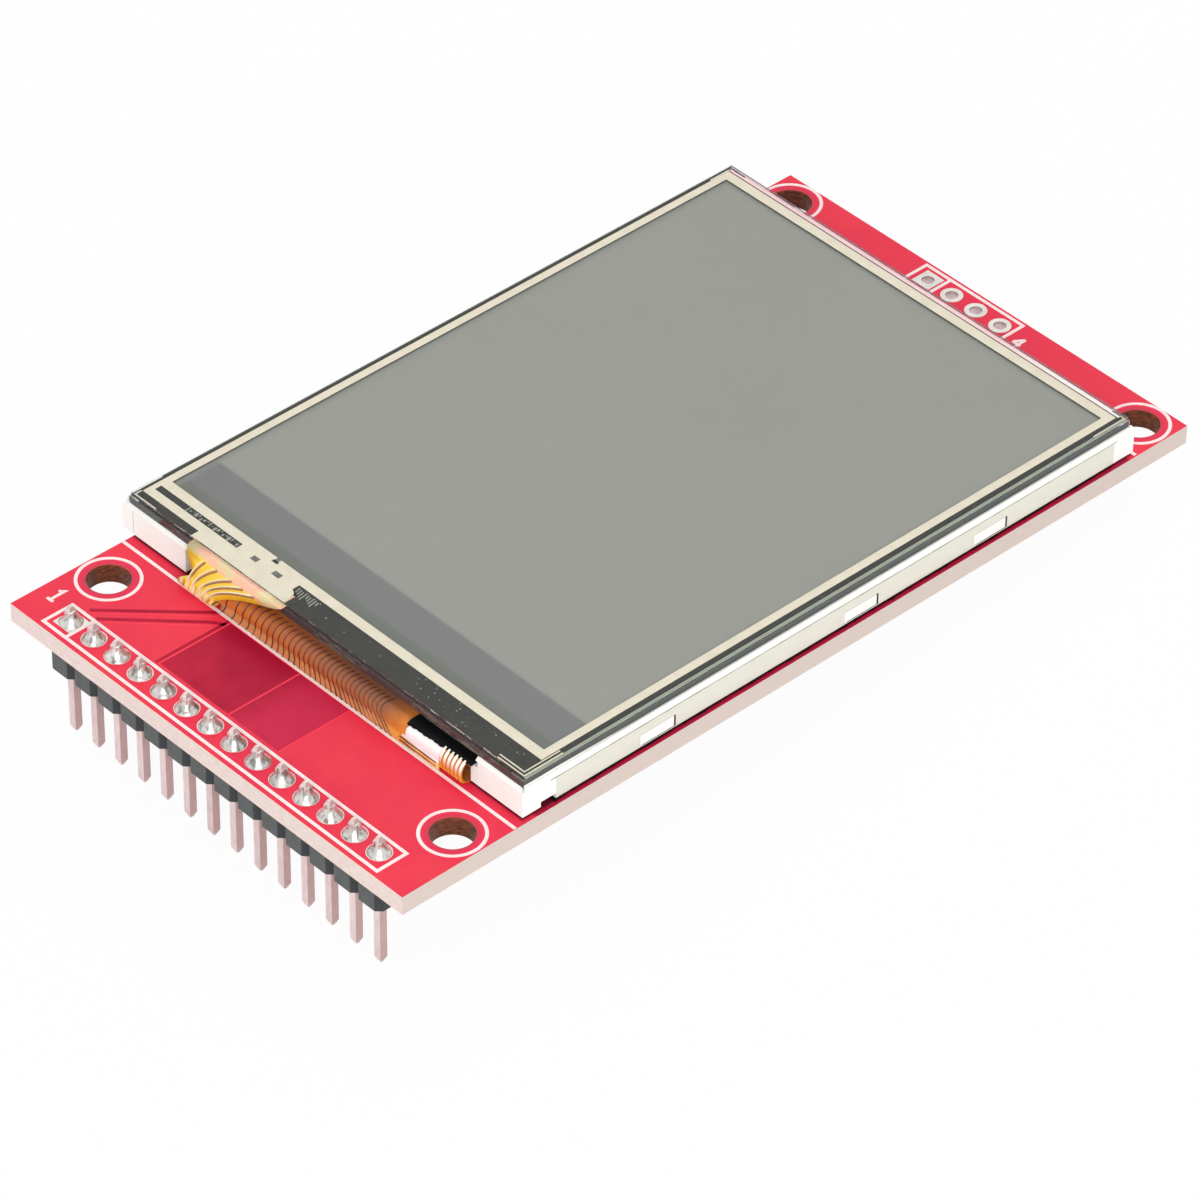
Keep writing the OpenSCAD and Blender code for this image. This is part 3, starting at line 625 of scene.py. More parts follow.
# plain digits as pen strokes in a box 0.6 wide and 1 high
digitPaths = {
    "0": [[(0.12, 0), (0.48, 0), (0.6, 0.15), (0.6, 0.85), (0.48, 1), (0.12, 1), (0, 0.85), (0, 0.15), (0.12, 0)]],
    "1": [[(0.08, 0.78), (0.32, 1), (0.32, 0)], [(0.08, 0), (0.56, 0)]],
    "2": [[(0, 0.85), (0.15, 1), (0.45, 1), (0.6, 0.85), (0.6, 0.62), (0, 0), (0.6, 0)]],
    "3": [[(0, 0.92), (0.12, 1), (0.48, 1), (0.6, 0.85), (0.6, 0.63), (0.44, 0.52), (0.2, 0.52)],
          [(0.44, 0.52), (0.6, 0.38), (0.6, 0.15), (0.48, 0), (0.12, 0), (0, 0.08)]],
    "4": [[(0.46, 0), (0.46, 1)], [(0.46, 0.98), (0.02, 0.36)], [(0, 0.34), (0.64, 0.34)]],
    "5": [[(0.58, 1), (0.06, 1), (0, 0.55), (0.42, 0.6), (0.6, 0.44), (0.6, 0.15), (0.45, 0), (0.1, 0), (0, 0.1)]],
    "6": [[(0.52, 1), (0.18, 0.9), (0, 0.5), (0, 0.15), (0.12, 0), (0.48, 0), (0.6, 0.15), (0.6, 0.42),
           (0.48, 0.56), (0.12, 0.56), (0, 0.45)]],
    "7": [[(0, 1), (0.6, 1), (0.2, 0)]],
    "8": [[(0.14, 0.53), (0, 0.7), (0, 0.88), (0.12, 1), (0.48, 1), (0.6, 0.88), (0.6, 0.7), (0.46, 0.53),
           (0.14, 0.53), (0, 0.38), (0, 0.14), (0.12, 0), (0.48, 0), (0.6, 0.14), (0.6, 0.38), (0.46, 0.53)]],
    "9": [[(0.08, 0), (0.42, 0.1), (0.6, 0.5), (0.6, 0.85), (0.48, 1), (0.12, 1), (0, 0.85), (0, 0.58),
           (0.12, 0.44), (0.48, 0.44), (0.6, 0.55)]],
}


def addNumber(form, text, x, y, height, width, low, high, mirrored=False):
    # mirrored numbers read right from below; crossing strokes lie at slightly different heights
    step = 0.92 * height
    total = step * (len(text) - 1) + 0.6 * height
    for k, digit in enumerate(text):
        for order, path in enumerate(digitPaths[digit]):
            run = [(k * step + u * height - total / 2, y + v * height) for u, v in path]
            form.stroke([(x - across if mirrored else x + across, up) for across, up in run], width,
                        low + 0.003 * order, high + 0.003 * order)


silk = {"line": 0.27, "ringLine": 0.26, "penWidth": 0.24, "height": 0.026, "sink": 0.01, "headerMargin": 0.45,
        "ringRadius": 2.36, "bandY": -30.32, "stubY": 30.95, "numberHeight": 1.35, "pinOneBox": 2.45, "rowBox": 2.58,
        "rowLeft": 0.55, "rowNear": 0.5, "rowRight": 0.3, "rowFar": 0.42, "oneSpot": (-19.45, -38.35),
        "fourSpot": (5.6, 33.6)}
silkInk = finish("silkInk", (255, 244, 242), (250, 226, 224), scale=3.0, smooth=0.55, rough=0.75, bump=0.3)
low, high, line = top - silk["sink"], top + silk["height"], silk["line"]
joints = boxOf("header_solder")
hx0, hy0 = joints[0].x - silk["headerMargin"], joints[0].y - silk["headerMargin"]
hx1, hy1 = joints[1].x + silk["headerMargin"] - 0.05, joints[1].y + silk["headerMargin"] - 0.12
rx0, ry0 = rowLow.x - silk["rowLeft"], rowLow.y - silk["rowNear"]
rx1, ry1 = rowHigh.x + silk["rowRight"], rowHigh.y + silk["rowFar"]


def addHoleRings(form, low, high):
    for x, y in holeSpots:
        form.stroke(circle(x, y, silk["ringRadius"], 72), silk["ringLine"], low, high, closed=True)


silkForm = Form().stroke(rect(hx0, hy0, hx1, hy1), line, low, high, closed=True)
divider = hx0 + silk["pinOneBox"]
silkForm.stroke([(divider, hy0 + line / 2), (divider, hy1 - line / 2)], line, low, high)
silkForm.stroke([(boardLow.x + 0.05, silk["bandY"]), (boardHigh.x - 0.05, silk["bandY"])], line, low, high)
addHoleRings(silkForm, low, high)
silkForm.stroke(rect(rx0, ry0, rx1, ry1), line, low, high, closed=True)
divider = rx0 + silk["rowBox"]
silkForm.stroke([(divider, ry0 + line / 2), (divider, ry1 - line / 2)], line, low, high)
silkForm.stroke([(boardHigh.x - 0.95, silk["stubY"]), (boardHigh.x - 0.15, silk["stubY"])], line, low, high)
addNumber(silkForm, "1", *silk["oneSpot"], silk["numberHeight"], silk["penWidth"], low, high)
addNumber(silkForm, "4", *silk["fourSpot"], silk["numberHeight"] * 0.9, silk["penWidth"], low, high)
silkForm.make("silkTop", silkInk, "board_red")

# pads of tin under the pin joints, the first one square
tin = {"padRadius": 0.95, "squareHalf": 0.92, "height": 0.03, "sink": 0.01, "plug": 0.5,
       "rowSpots": (-4.36, -1.82, 0.72, 3.26)}
padTin = finish("padTin", (232, 229, 222), (204, 200, 194), scale=5.0, smooth=0.22, rough=0.45, bump=0.3, depth=0.03,
                metallic=0.4)
pinSpots = [sum(boxOf(f"header_pin_{k}"), Vector()) / 2 for k in range(1, 15)]
half = tin["squareHalf"]
pads = Form()
for k, spot in enumerate(pinSpots):
    pads.plate(circle(spot.x, spot.y, tin["padRadius"], 40) if k else
               rect(spot.x - half, spot.y - half, spot.x + half, spot.y + half),
               top - tin["sink"], top + tin["height"])
pads.make("pinPads", padTin, "pad_metal")
dress(padTin, "row_pads")

# the card row's bores are filled with dull tin, dished a little
plug = turnedModel("plugModel", [(tin["plug"] * share, height) for share, height in (
    (0.3, 0.02), (0.92, 0.02), (1, top - 0.06), (0.9, top - 0.02), (0.35, top - 0.12), (0.1, top - 0.08))])
plugTin = finish("plugTin", (206, 184, 184), (168, 140, 142), scale=5.0, smooth=0.25, rough=0.5, bump=0.5,
                 depth=0.05, metallic=0.3)
rowY = (rowLow.y + rowHigh.y) / 2
settle(growCopies("rowPlugs", plug, [(x, rowY, 0) for x in tin["rowSpots"]], plugTin, {"Turn": 6.28, "Seed": 3}),
       "pad_metal")
print("board dressed")

header = {"plastic": (78, 82, 81), "plasticDark": (66, 70, 69), "plasticSideShade": (30, 32, 36), "pin": (236, 214, 211),
          "pinDark": (214, 188, 185), "pinSideShade": (172, 134, 132)}


def shadedSides(dark, share):
    # a painter of painted shade: darker on the faces turned to the long sides, as if less light fell on them
    def paint(tree, colour):
        return mix(tree, span(tree, absolute(tree, facing(tree)[0]), 0.3, 0.6, 0.0, share), colour, dark)
    return paint


headerBlack = finish("headerPlastic", header["plastic"], header["plasticDark"], shadedSides(header["plasticSideShade"], 0.85),
                     scale=9.0, smooth=0.4, rough=0.6, bump=0.4, depth=0.015)
pinTin = finish("pinTin", header["pin"], header["pinDark"], shadedSides(header["pinSideShade"], 0.7), scale=2.4, smooth=0.3,
                rough=0.46, bump=0.1, depth=0.02, stretch=(1, 1, 0.4), metallic=0.2)
softenedCopy("headerStrip", "header_strip", 0.06, headerBlack, "header_plastic")
dress(pinTin, *[f"header_pin_{k}" for k in range(1, 15)])

solder = {"bright": (232, 230, 226), "grey": (190, 187, 183), "streak": (112, 108, 104), "foot": 0.92, "neck": 0.38,
          "height": 1.12, "hollow": 2.1, "ripple": 0.07}


def paintSolder(tree, colour):
    # darker streaks that run down the cone
    streaks = noise(tree, place(tree, (2.6, 2.6, 1.1)), detail=3.0)
    return mix(tree, span(tree, streaks, 0.48, 0.66, 0.0, 0.8), colour, solder["streak"])


foot, neck, height = solder["foot"], solder["neck"], solder["height"]
profile = [(foot, -0.02), (foot, 0.03)]
profile += [(neck + (foot - neck) * (1 - i / 12) ** solder["hollow"], 0.05 + 0.9 * i / 12 * height)
            for i in range(1, 13)]
profile += [(neck * 0.92, height * 0.98), (neck * 0.7, height), (neck * 0.35, height)]
settle(growCopies("solderJoints", turnedModel("jointModel", profile, 28), [(s.x, s.y, top) for s in pinSpots],
                  finish("solderShine", solder["bright"], solder["grey"], paintSolder, scale=3.0, smooth=0.12,
                         rough=0.26, bump=0.35, depth=0.05, metallic=0.72),
                  {"Smallest": 0.97, "Largest": 1.02, "Turn": 6.28, "Ripple": solder["ripple"] * mm,
                   "Ripple Scale": 1500.0, "Seed": 4}), "solder", "header_solder")
print("header dressed")

shell = {"rimLeft": -14.9, "rimRight": 15.85, "white": (254, 254, 250), "whiteDark": (248, 247, 243),
         "steel": (227, 227, 212), "steelDark": (226, 221, 210), "seamX": -20.9}
frameWhite = finish("frameWhite", shell["white"], shell["whiteDark"], scale=1.2, smooth=0.42, rough=0.58, bump=0.12,
                    depth=0.02)
panSteel = finish("panSteel", shell["steel"], shell["steelDark"], scale=1.6, rough=0.42, bump=0.0,
                  stretch=(1.0, 0.3, 1.0), metallic=0.12)
softenedCopy("frameBody", "panel_frame", 0.07, frameWhite, "frame_white")
softenedCopy("panShell", "backlight_pan", 0.03, panSteel, "pan_steel")
tapeBlack = finish("tapeBlack", (14, 13, 15), (6, 6, 8), scale=7.0, smooth=0.55, rough=0.8, bump=0.4, depth=0.02,
                   specular=0.12)
dress(tapeBlack, "mounting_tape", "tail_tape")
panLow, panHigh = boxOf("backlight_pan")
panSides = ((-1, panLow.x), (1, panHigh.x))

# an uneven black line under the long walls of the pan: partly the black tape, partly painted shade in the gap under
# the wall
lip = {"reach": -0.02, "wave": 0.11, "inward": 0.75, "endGap": 1.0, "low": 0.004, "height": 0.2, "steps": 120}
tape = Form()
for side, edgeX in panSides:
    rim = []
    for i in range(lip["steps"] + 1):
        y = panLow.y + lip["endGap"] + (panHigh.y - panLow.y - 2 * lip["endGap"]) * i / lip["steps"]
        wander = math.sin(i * 1.7) + math.sin(i * 0.61 + 2) + math.sin(i * 3.1 + 1)
        rim.append((edgeX + side * (lip["reach"] + lip["wave"] * wander / 3), y))
    tape.plate(rim + [(edgeX - side * lip["inward"], y) for x, y in reversed(rim)], top + lip["low"],
               top + lip["height"])
tape.make("tapeLip", tapeBlack, "black_tape")

# painted shade: dark strips in the gaps at the far end and along the bottom of the latch windows, and bright tabs in
# them
latch = {"spots": (-16.72, 3.03, 16.03), "length": 3.4, "low": 1.95, "high": 2.95, "gap": 0.16, "proud": 0.012}
gaps, tabs = Form(), Form()
for side, edgeX in panSides:
    for y in latch["spots"]:
        y0, y1 = y - latch["length"] / 2, y + latch["length"] / 2
        x0, x1 = sorted((edgeX - side * 0.03, edgeX + side * latch["proud"]))
        gaps.plate(rect(x0, y1 - latch["gap"], x1, y1), latch["low"] + 0.05, latch["high"] - 0.02)
        gaps.plate(rect(x0, y0 + 0.3, x1, y1), latch["low"], latch["low"] + 0.05)
        x0, x1 = sorted((edgeX - side * 0.1, edgeX - side * 0.002))
        tabs.plate(rect(x0, y0 + 0.12, x1, y1 - latch["gap"] - 0.02), latch["low"] + 0.08, latch["high"] - 0.06)
gaps.make("latchGaps", finish("gapShade", (74, 42, 42), (48, 28, 30), specular=0.1), "pan_steel")
tabs.make("latchTabs", finish("tabWhite", (255, 255, 255), (252, 252, 248), scale=3.0, rough=0.45), "frame_white")

# painted shade along the creases where the pan meets the frame along its sides, and a moulding seam near one corner
frameLow, frameHigh = boxOf("panel_frame")
creases = Form()
for side, edgeX in panSides:
    upper, lower = [], []
    for i in range(lip["steps"] + 1):
        y = panLow.y + 0.6 + (panHigh.y - panLow.y - 1.2) * i / lip["steps"]
        upper.append((y, panHigh.z - 0.01 + 0.006 * (math.sin(i * 2.3) + math.sin(i * 0.47 + 1))))
        lower.append((y, panHigh.z - 0.075 - 0.016 * math.sin(i * 1.1)))
    creases.loft([[(x, y, z) for y, z in upper + lower[::-1]] for x in (edgeX - side * 0.05, edgeX + side * 0.014)])
creases.plate(rect(shell["seamX"], frameLow.y - 0.006, shell["seamX"] + 0.045, frameLow.y + 0.1), 1.95, 3.9)
# raised rims beside the glass, and sloping ones along the near end, either side of the flexes
rims = Form()
for side, edgeX in ((-1, frameLow.x), (1, frameHigh.x)):
    x0, x1 = sorted((edgeX - side * 0.003, edgeX - side * 0.15))
    rims.plate(rect(x0, frameLow.y + 0.3, x1, frameHigh.y - 0.25), frameHigh.z - 0.14, frameHigh.z + 0.38)
slopeSection = [(frameLow.y + y, frameHigh.z + z)
                for y, z in ((0.01, -0.05), (0.26, -0.05), (0.26, 0.24), (0.01, 0.02))]
for ends in ((frameLow.x + 0.5, shell["rimLeft"]), (shell["rimRight"], frameHigh.x - 0.3)):
    rims.loft([[(x, y, z) for y, z in slopeSection] for x in ends])
rims.make("frameRims", frameWhite, "frame_white")
creases.make("frameCreases", finish("creaseShadeAndSeam", (124, 122, 108), (180, 174, 160), scale=3.0, smooth=0.5, rough=0.7),
             "frame_white")

# the backlight and the display cell
for material, *names in (
        (finish("reflectorWhite", (250, 250, 250), (240, 241, 243), scale=2.0, smooth=0.2, rough=0.3),
         "reflector_sheet"),
        (finish("guideClear", (232, 238, 240), (222, 230, 233), scale=2.0, smooth=0.05, rough=0.12, bump=0.1),
         "light_guide"),
        (finish("ledBody", (248, 240, 190), (236, 214, 120), scale=2.0), *[f"backlight_led_{k}" for k in range(1, 5)]),
        (finish("sheetMilky", (236, 238, 236), (226, 229, 228), scale=6.0, smooth=0.35, stretch=(1, 12, 1)),
         "diffuser_sheet", "lower_prism_sheet", "upper_prism_sheet"),
        (finish("rearPolarizer", (70, 72, 72), (58, 60, 61), scale=2.0, smooth=0.2, rough=0.3), "rear_polarizer"),
        (finish("cellGlass", (120, 126, 120), (104, 112, 106), scale=1.5, smooth=0.05, rough=0.15, bump=0.05),
         "rear_glass", "front_glass"),
        (finish("chipSilicon", (66, 68, 76), (44, 46, 54), scale=6.0, smooth=0.1, rough=0.25, stretch=(6, 1, 1),
                metallic=0.4), "driver_chip")):
    dress(material, *names)
print("frame dressed")

# seen through the glass, the whole display lies close under it
paneLow, paneHigh = boxOf("touch_glass")
face = {"light": (155, 156, 149), "lightAlt": (153, 154, 147), "border": (114, 118, 111), "band": (124, 125, 125),
        "rim": (126, 128, 122), "soft": (143, 145, 140), "bandY": -22.0,
        "low": (paneLow.x + 0.13, paneLow.y + 1.7), "high": (paneHigh.x - 0.15, paneHigh.y - 0.2)}


def paintDisplay(tree, colour):
    # the masked band at the near end, and painted shade in a darker margin along the left and far edges, where the
    # ring shades the display
    (x0, y0), (x1, y1) = face["low"], face["high"]
    y = axes(tree)[1]
    colour = mix(tree, span(tree, y, face["bandY"], face["bandY"] + 0.3), face["band"], colour)
    colour = mix(tree, span(tree, y, y0 + 2.38, y0 + 2.74, 1.0, 0.0), colour, face["border"])
    wide = inBox(tree, (x0 + 1.3, y0 - 5, -9), (x1 + 5, y1 - 1.55, 9), soft=0.35)
    colour = mix(tree, wide, face["soft"], colour)
    return mix(tree, inBox(tree, (x0 - 5, y0 - 5, -9), (x1 + 5, y1 - 1.35, 9), soft=0.12), face["rim"], colour)


displayGrey = finish("displayGrey", face["light"], face["lightAlt"], paintDisplay, scale=0.8, smooth=0.5, rough=0.6,
                     bump=0.05, specular=0.12)
Form().plate(rect(*face["low"], *face["high"]), paneHigh.z - 0.05, paneHigh.z - 0.04).make(
    "displayFace", displayGrey, "polarizer_grey")
dress(displayGrey, "front_polarizer", "light_shield_tape")


def clearMaterial(name, look):
    # a clear sheet: almost nothing of its own on its faces, more at its cut edges
    material, tree, shader = newMaterial(name)
    steep = steepness(tree)
    grain = useGroup(tree, grainGroup, Point=place(tree, (1, 1, 4)), Scale=look["grain"], Smooth=look["gloss"],
                     Rough=look["gloss"] + 0.1)
    x, y, z = axes(tree)
    # the long sides have a tint of their own, with the white frame shining through low down
    edge = mix(tree, span(tree, grain["Share"], 0.62, 0.78), look["edge"], look["edgeAlt"])
    side = mix(tree, grain["Share"], look["side"], look["sideAlt"])
    # the seam lies higher towards the near corner
    level = calc(tree, "ADD", z, span(tree, y, -26.0, -8.0, 0.0, 0.34))
    side = mix(tree, span(tree, level, look["seam"] - 0.03, look["seam"] + 0.03, 1.0, 0.0), side, look["glow"])
    edge = mix(tree, span(tree, absolute(tree, facing(tree)[0]), 0.5, 0.8), edge, side)
    # the far side is seen from within, and gets its own colour there: on the glass, painted light in pale pink where
    # the wall lies in shade
    far = times(tree, span(tree, y, look["farY"] - 0.1, look["farY"] - 0.06), steep)
    edge = mix(tree, far, edge, look["far"])
    feed(tree, shader.inputs["Base Color"], mix(tree, steep, look["veil"], edge))
    feed(tree, shader.inputs["Roughness"], grain["Roughness"])
    mirror = addNode(tree, "ShaderNodeFresnel", {"IOR": 1.45})[0]
    own = calc(tree, "ADD", calc(tree, "ADD", times(tree, mirror, 0.3), 0.02),
               times(tree, steep, look["edgeShare"]), clamp=True)
    front = calc(tree, "SUBTRACT", 1.0, addNode(tree, "ShaderNodeNewGeometry")["Backfacing"])
    within = calc(tree, "MAXIMUM", times(tree, steep, 0.3), times(tree, far, 0.92))
    feed(tree, tree.nodes["Material Output"].inputs[0],
         either(tree, times(tree, own, calc(tree, "MAXIMUM", front, within)),
                addNode(tree, "ShaderNodeBsdfTransparent")[0], shader.outputs[0]))
    return material


filmLow, filmHigh = boxOf("touch_film")
spacerLow, spacerHigh = boxOf("touch_spacer")
flexLow, flexHigh = boxOf("touch_flex")
sheet = {"veil": (190, 192, 184), "edge": (64, 60, 60), "edgeAlt": (196, 190, 182), "side": (160, 168, 150),
         "sideAlt": (160, 168, 150), "glow": (170, 178, 162), "far": (132, 116, 126), "edgeShare": 0.9, "gloss": 0.1,
         "grain": 4.0, "seam": 0.0, "farY": filmHigh.y}
pane = {"veil": (150, 156, 148), "edge": (62, 66, 64), "edgeAlt": (92, 98, 90), "side": (54, 58, 60),
        "sideAlt": (74, 78, 74), "glow": (250, 250, 244), "far": (255, 214, 216), "edgeShare": 0.96, "gloss": 0.06,
        "grain": 1.4, "seam": 4.5, "farY": paneHigh.y}
filmClear = clearMaterial("touchFilm", sheet)
glassClear = clearMaterial("touchGlass", pane)

touch = {"border": (58, 59, 55), "borderAlt": (50, 51, 48), "ink": (238, 231, 210), "inkAlt": (226, 217, 194),
         "gap": 0.02, "gasketNearShade": ((58, 22, 44), (34, 14, 28)), "gasketOutLit": (244, 242, 238),
         "gasketIn": (140, 142, 134)}


def paintBorder(tree, colour):
    marks = useGroup(tree, specksGroup, Point=place(tree), Scale=1.6, Size=0.14, Share=0.12)[0]
    dust = useGroup(tree, specksGroup, Point=place(tree, (1, 1.3, 1)), Scale=4.5, Size=0.2, Share=0.06)[0]
    colour = mix(tree, times(tree, marks, 0.35), colour, (150, 150, 142))
    return mix(tree, times(tree, dust, 0.2), colour, (190, 188, 176))


def paintInk(tree, colour):
    # a faint woven screen mark
    mesh = addNode(tree, "ShaderNodeTexWave", {"Scale": 1.0, "Vector": place(tree, (1.6, 1.6, 1.6))},
                   wave_type="BANDS", bands_direction="DIAGONAL")[1]
    return mix(tree, times(tree, mesh, 0.25), colour, touch["inkAlt"])


def paintGasket(tree, colour):
    # painted shade and light: dark along its near face, which lies in shade under the glass, white along the others as
    # the lit frame looks, and as grey as the display inside
    low, high = boxOf("touch_gasket")
    near = inBox(tree, (low.x - 1, low.y - 1, low.z - 5), (high.x - 1.5, low.y + 0.3, high.z + 5), soft=0.05)
    inside = inBox(tree, (low.x + 0.25, low.y + 0.25, low.z - 5), (high.x - 0.25, high.y - 0.25, high.z + 5),
                   soft=0.05)
    return mix(tree, inside, mix(tree, near, touch["gasketOutLit"], colour), touch["gasketIn"])


dress(finish("gasketDark", *touch["gasketNearShade"], paintGasket, scale=5.0, smooth=0.5, rough=0.7, bump=0.3, depth=0.02,
             specular=0.2), "touch_gasket")
inkCream = finish("inkCream", touch["ink"], touch["inkAlt"], paintInk, scale=6.0, smooth=0.5, rough=0.7, bump=0.2)
borderPrint = finish("borderPrint", touch["border"], touch["borderAlt"], paintBorder, scale=2.0, smooth=0.45,
                     rough=0.55, bump=0.03, specular=0.15)

# the glass and the film keep their size, with their edges ground off a little
softenedCopy("touchPane", "touch_glass", 0.06, glassClear, "touch_glass")
film = Form().plate(rect(filmLow.x, filmLow.y, filmHigh.x, filmHigh.y), filmLow.z + touch["gap"], filmHigh.z)
bevelEdges(film.make("touchSheet", filmClear, "touch_film", "touch_film"), 0.03)

# dark adhesive border, open at the far side, with a darker plate right of the contact patch
ink = {"left": 0.28, "right": 0.66, "near": 2.21, "far": 0.54, "leftWidth": 0.65, "rightWidth": 0.68,
       "nearWidth": 0.85, "farWidth": 0.84, "lap": 0.05, "flexGap": 0.15, "line": 0.11}
ox0, oy0 = filmLow.x + ink["left"], filmLow.y + ink["near"]
ox1, oy1 = filmHigh.x - ink["right"], filmHigh.y - ink["far"]
ix0, iy0 = ox0 + ink["leftWidth"], oy0 + ink["nearWidth"]
ix1, iy1 = ox1 - ink["rightWidth"], oy1 - ink["farWidth"]
gap, lap = ink["flexGap"], ink["lap"]
baseLow, baseHigh = spacerLow.z, spacerHigh.z - 0.004
border = Form().plate([(filmLow.x, filmLow.y), (flexLow.x - gap, filmLow.y), (flexLow.x - gap, flexHigh.y + gap),
                       (flexHigh.x + gap, flexHigh.y + gap), (flexHigh.x + gap, filmLow.y), (filmHigh.x, filmLow.y),
                       (filmHigh.x, iy0 - lap), (filmLow.x, iy0 - lap)], baseLow, baseHigh)
border.plate(rect(filmLow.x - 0.1, iy0 - lap, ix0 - lap, filmHigh.y), baseLow, baseHigh)
border.plate(rect(ix1 + lap, iy0 - lap, filmHigh.x, filmHigh.y), baseLow, baseHigh)
border.plate(rect(ix0 - lap, iy1 + lap, ix1 + lap, oy1 - lap), baseLow, baseHigh)
border.plate(rect(-4.83, filmLow.y + 0.03, flexHigh.x + gap + 0.1, flexHigh.y + gap + 0.1), filmLow.z + 0.001,
             filmLow.z + 0.009)
border.make("borderPrint", borderPrint, "black_tape", "touch_spacer")

# pale edge of the adhesive along the right side
Form().plate(rect(filmHigh.x, filmLow.y + 0.1, filmHigh.x + 0.02, filmHigh.y - 0.1), baseLow - 0.02,
             filmLow.z + 0.02).make("adhesiveEdge", finish("adhesivePale", (178, 186, 170), (150, 160, 142), scale=3.0,
                                                           smooth=0.2, rough=0.4), "touch_film")

# cream conductor ring, its second line in the pin 1 corner and the contact patch over the flex
inkLow, inkHigh = filmLow.z + 0.002, filmLow.z + 0.014
patch = {"x0": -15.0, "x1": -4.85, "lineY0": -28.15, "lineY1": -27.4, "slotX1": -11.75, "frontY": -28.97,
         "lineEnd": 0.45, "corner": 0.75,
         "windows": ((-10.25, -27.45, -9.6, -26.98), (-7.95, -27.45, -7.15, -26.98), (-9.0, -26.5, -8.4, -26.25))}
cream = Form().ring((ox0, oy0, ox1, oy1), (ix0, iy0, ix1, iy1), inkLow, inkHigh)
seatY, cornerX, lineX = oy0 - 0.001, patch["x1"] - patch["corner"], ox0 + patch["lineEnd"]
cream.plate([(ox0, patch["lineY0"]), (patch["x0"], patch["lineY0"]), (patch["x0"], patch["frontY"]),
             (patch["x1"], patch["frontY"]), (patch["x1"] - 0.3, patch["lineY1"] - 0.3),
             (cornerX, patch["lineY1"] - 0.05), (cornerX, seatY), (patch["slotX1"], seatY),
             (patch["slotX1"], patch["lineY1"]), (lineX, patch["lineY1"]), (lineX, seatY), (ox0, seatY)],
            inkLow, inkHigh)
# corner marks, a double one at the near right
for sx, sy, x, y, legX, legY in ((-1, -1, filmLow.x + 0.22, filmLow.y + 0.2, 2.3, 0.6),
                                 (1, -1, filmHigh.x - 0.22, filmLow.y + 0.2, 2.7, 3.6),
                                 (1, 1, filmHigh.x - 0.2, filmHigh.y - 0.16, 1.2, 3.2),
                                 (-1, 1, filmLow.x + 0.2, filmHigh.y - 0.16, 1.5, 2.2)):
    cream.stroke([(x - sx * legX, y), (x, y), (x, y - sy * legY)], ink["line"], inkLow, inkHigh)
    if (sx, sy) == (1, -1):
        cream.stroke([(x - legX - 0.1, y + 0.3), (x - 0.3, y + 0.3), (x - 0.3, y + legY)], ink["line"],
                     inkLow, inkHigh)
cream.make("inkRing", inkCream, "touch_film")

# windows in the patch, a notch in the ring, and the combs beside them
darkLow, darkHigh = inkHigh, filmLow.z + touch["gap"] - 0.001
windows = Form()
for corners in patch["windows"]:
    windows.plate(rect(*corners), darkLow, darkHigh)
windows.make("patchWindows", finish("windowGrey", (112, 114, 108), (74, 76, 72), scale=16.0, smooth=0.4, rough=0.6),
             "touch_film")
Form().plate(rect(-8.92, oy0 + 0.38, -8.52, iy0 + 0.02), darkLow, darkHigh).make(
    "ringNotch", finish("notchGrey", (116, 119, 112), (104, 107, 100), smooth=0.4, rough=0.6), "touch_film")
comb = Form()
for k in range(9):
    x = patch["x1"] - 0.45 + 0.26 * k
    comb.stroke([(x, -27.0 - 0.05 * (k % 3)), (x + 0.1, -27.5 - 0.12 * (k * 5 % 4))], 0.1, inkLow, inkHigh)
for k in range(19):
    x = -17.4 + 0.3 * k
    comb.stroke([(x, -27.37 + 0.09 * (k * 7 % 5)), (x, -26.86 - 0.06 * (k * 3 % 4))], 0.1 + 0.05 * (k * 5 % 4),
                inkLow, inkHigh)
comb.make("inkComb", finish("combGrey", (168, 168, 154), (128, 130, 120), scale=16.0, smooth=0.4, rough=0.6),
          "touch_film")


def paintRim(tree, colour):
    return mix(tree, span(tree, axes(tree)[0], 7.0, 13.0), colour, (255, 250, 244))


# painted light: a pale pink strip beyond the far run of the ring, where the clear edge lies in shade, and a thin dark
# line
Form().plate(rect(ox0 - 0.1, oy1 + 0.112, ox1 + 0.1, filmHigh.y - 0.07), inkLow, inkHigh).make(
    "farStrip", finish("paleRimLight", (255, 224, 224), (250, 208, 214), paintRim, scale=1.0, smooth=0.2, rough=0.4),
    "touch_film")
Form().plate(rect(ox0 + 0.3, oy1 + 0.02, ox1 - 0.3, oy1 + 0.11), inkLow, inkHigh).make(
    "farLine", finish("linePlum", (122, 62, 74), (88, 60, 70), scale=2.0, smooth=0.4, rough=0.6), "touch_film")

# specks on the dark border
fleck = Form().plate([(-0.05, -0.03), (0.05, -0.035), (0.06, 0.03), (-0.03, 0.04)], 0, 0.006).piece("fleckModel")
settle(growCopies("borderFlecks", fleck, [(x, y, inkLow) for x, y in rect(-4.0, filmLow.y + 0.3, ix1, oy0 - 0.15)],
                  finish("fleckLight", (214, 212, 198), (170, 170, 158), scale=20.0, smooth=0.5, rough=0.7),
                  {"Density": 1.1e6, "Smallest": 0.2, "Largest": 1.0, "Seed": 7}, scatterTree, [(0, 1, 2, 3)]),
       "touch_film")
print("touch panel dressed")

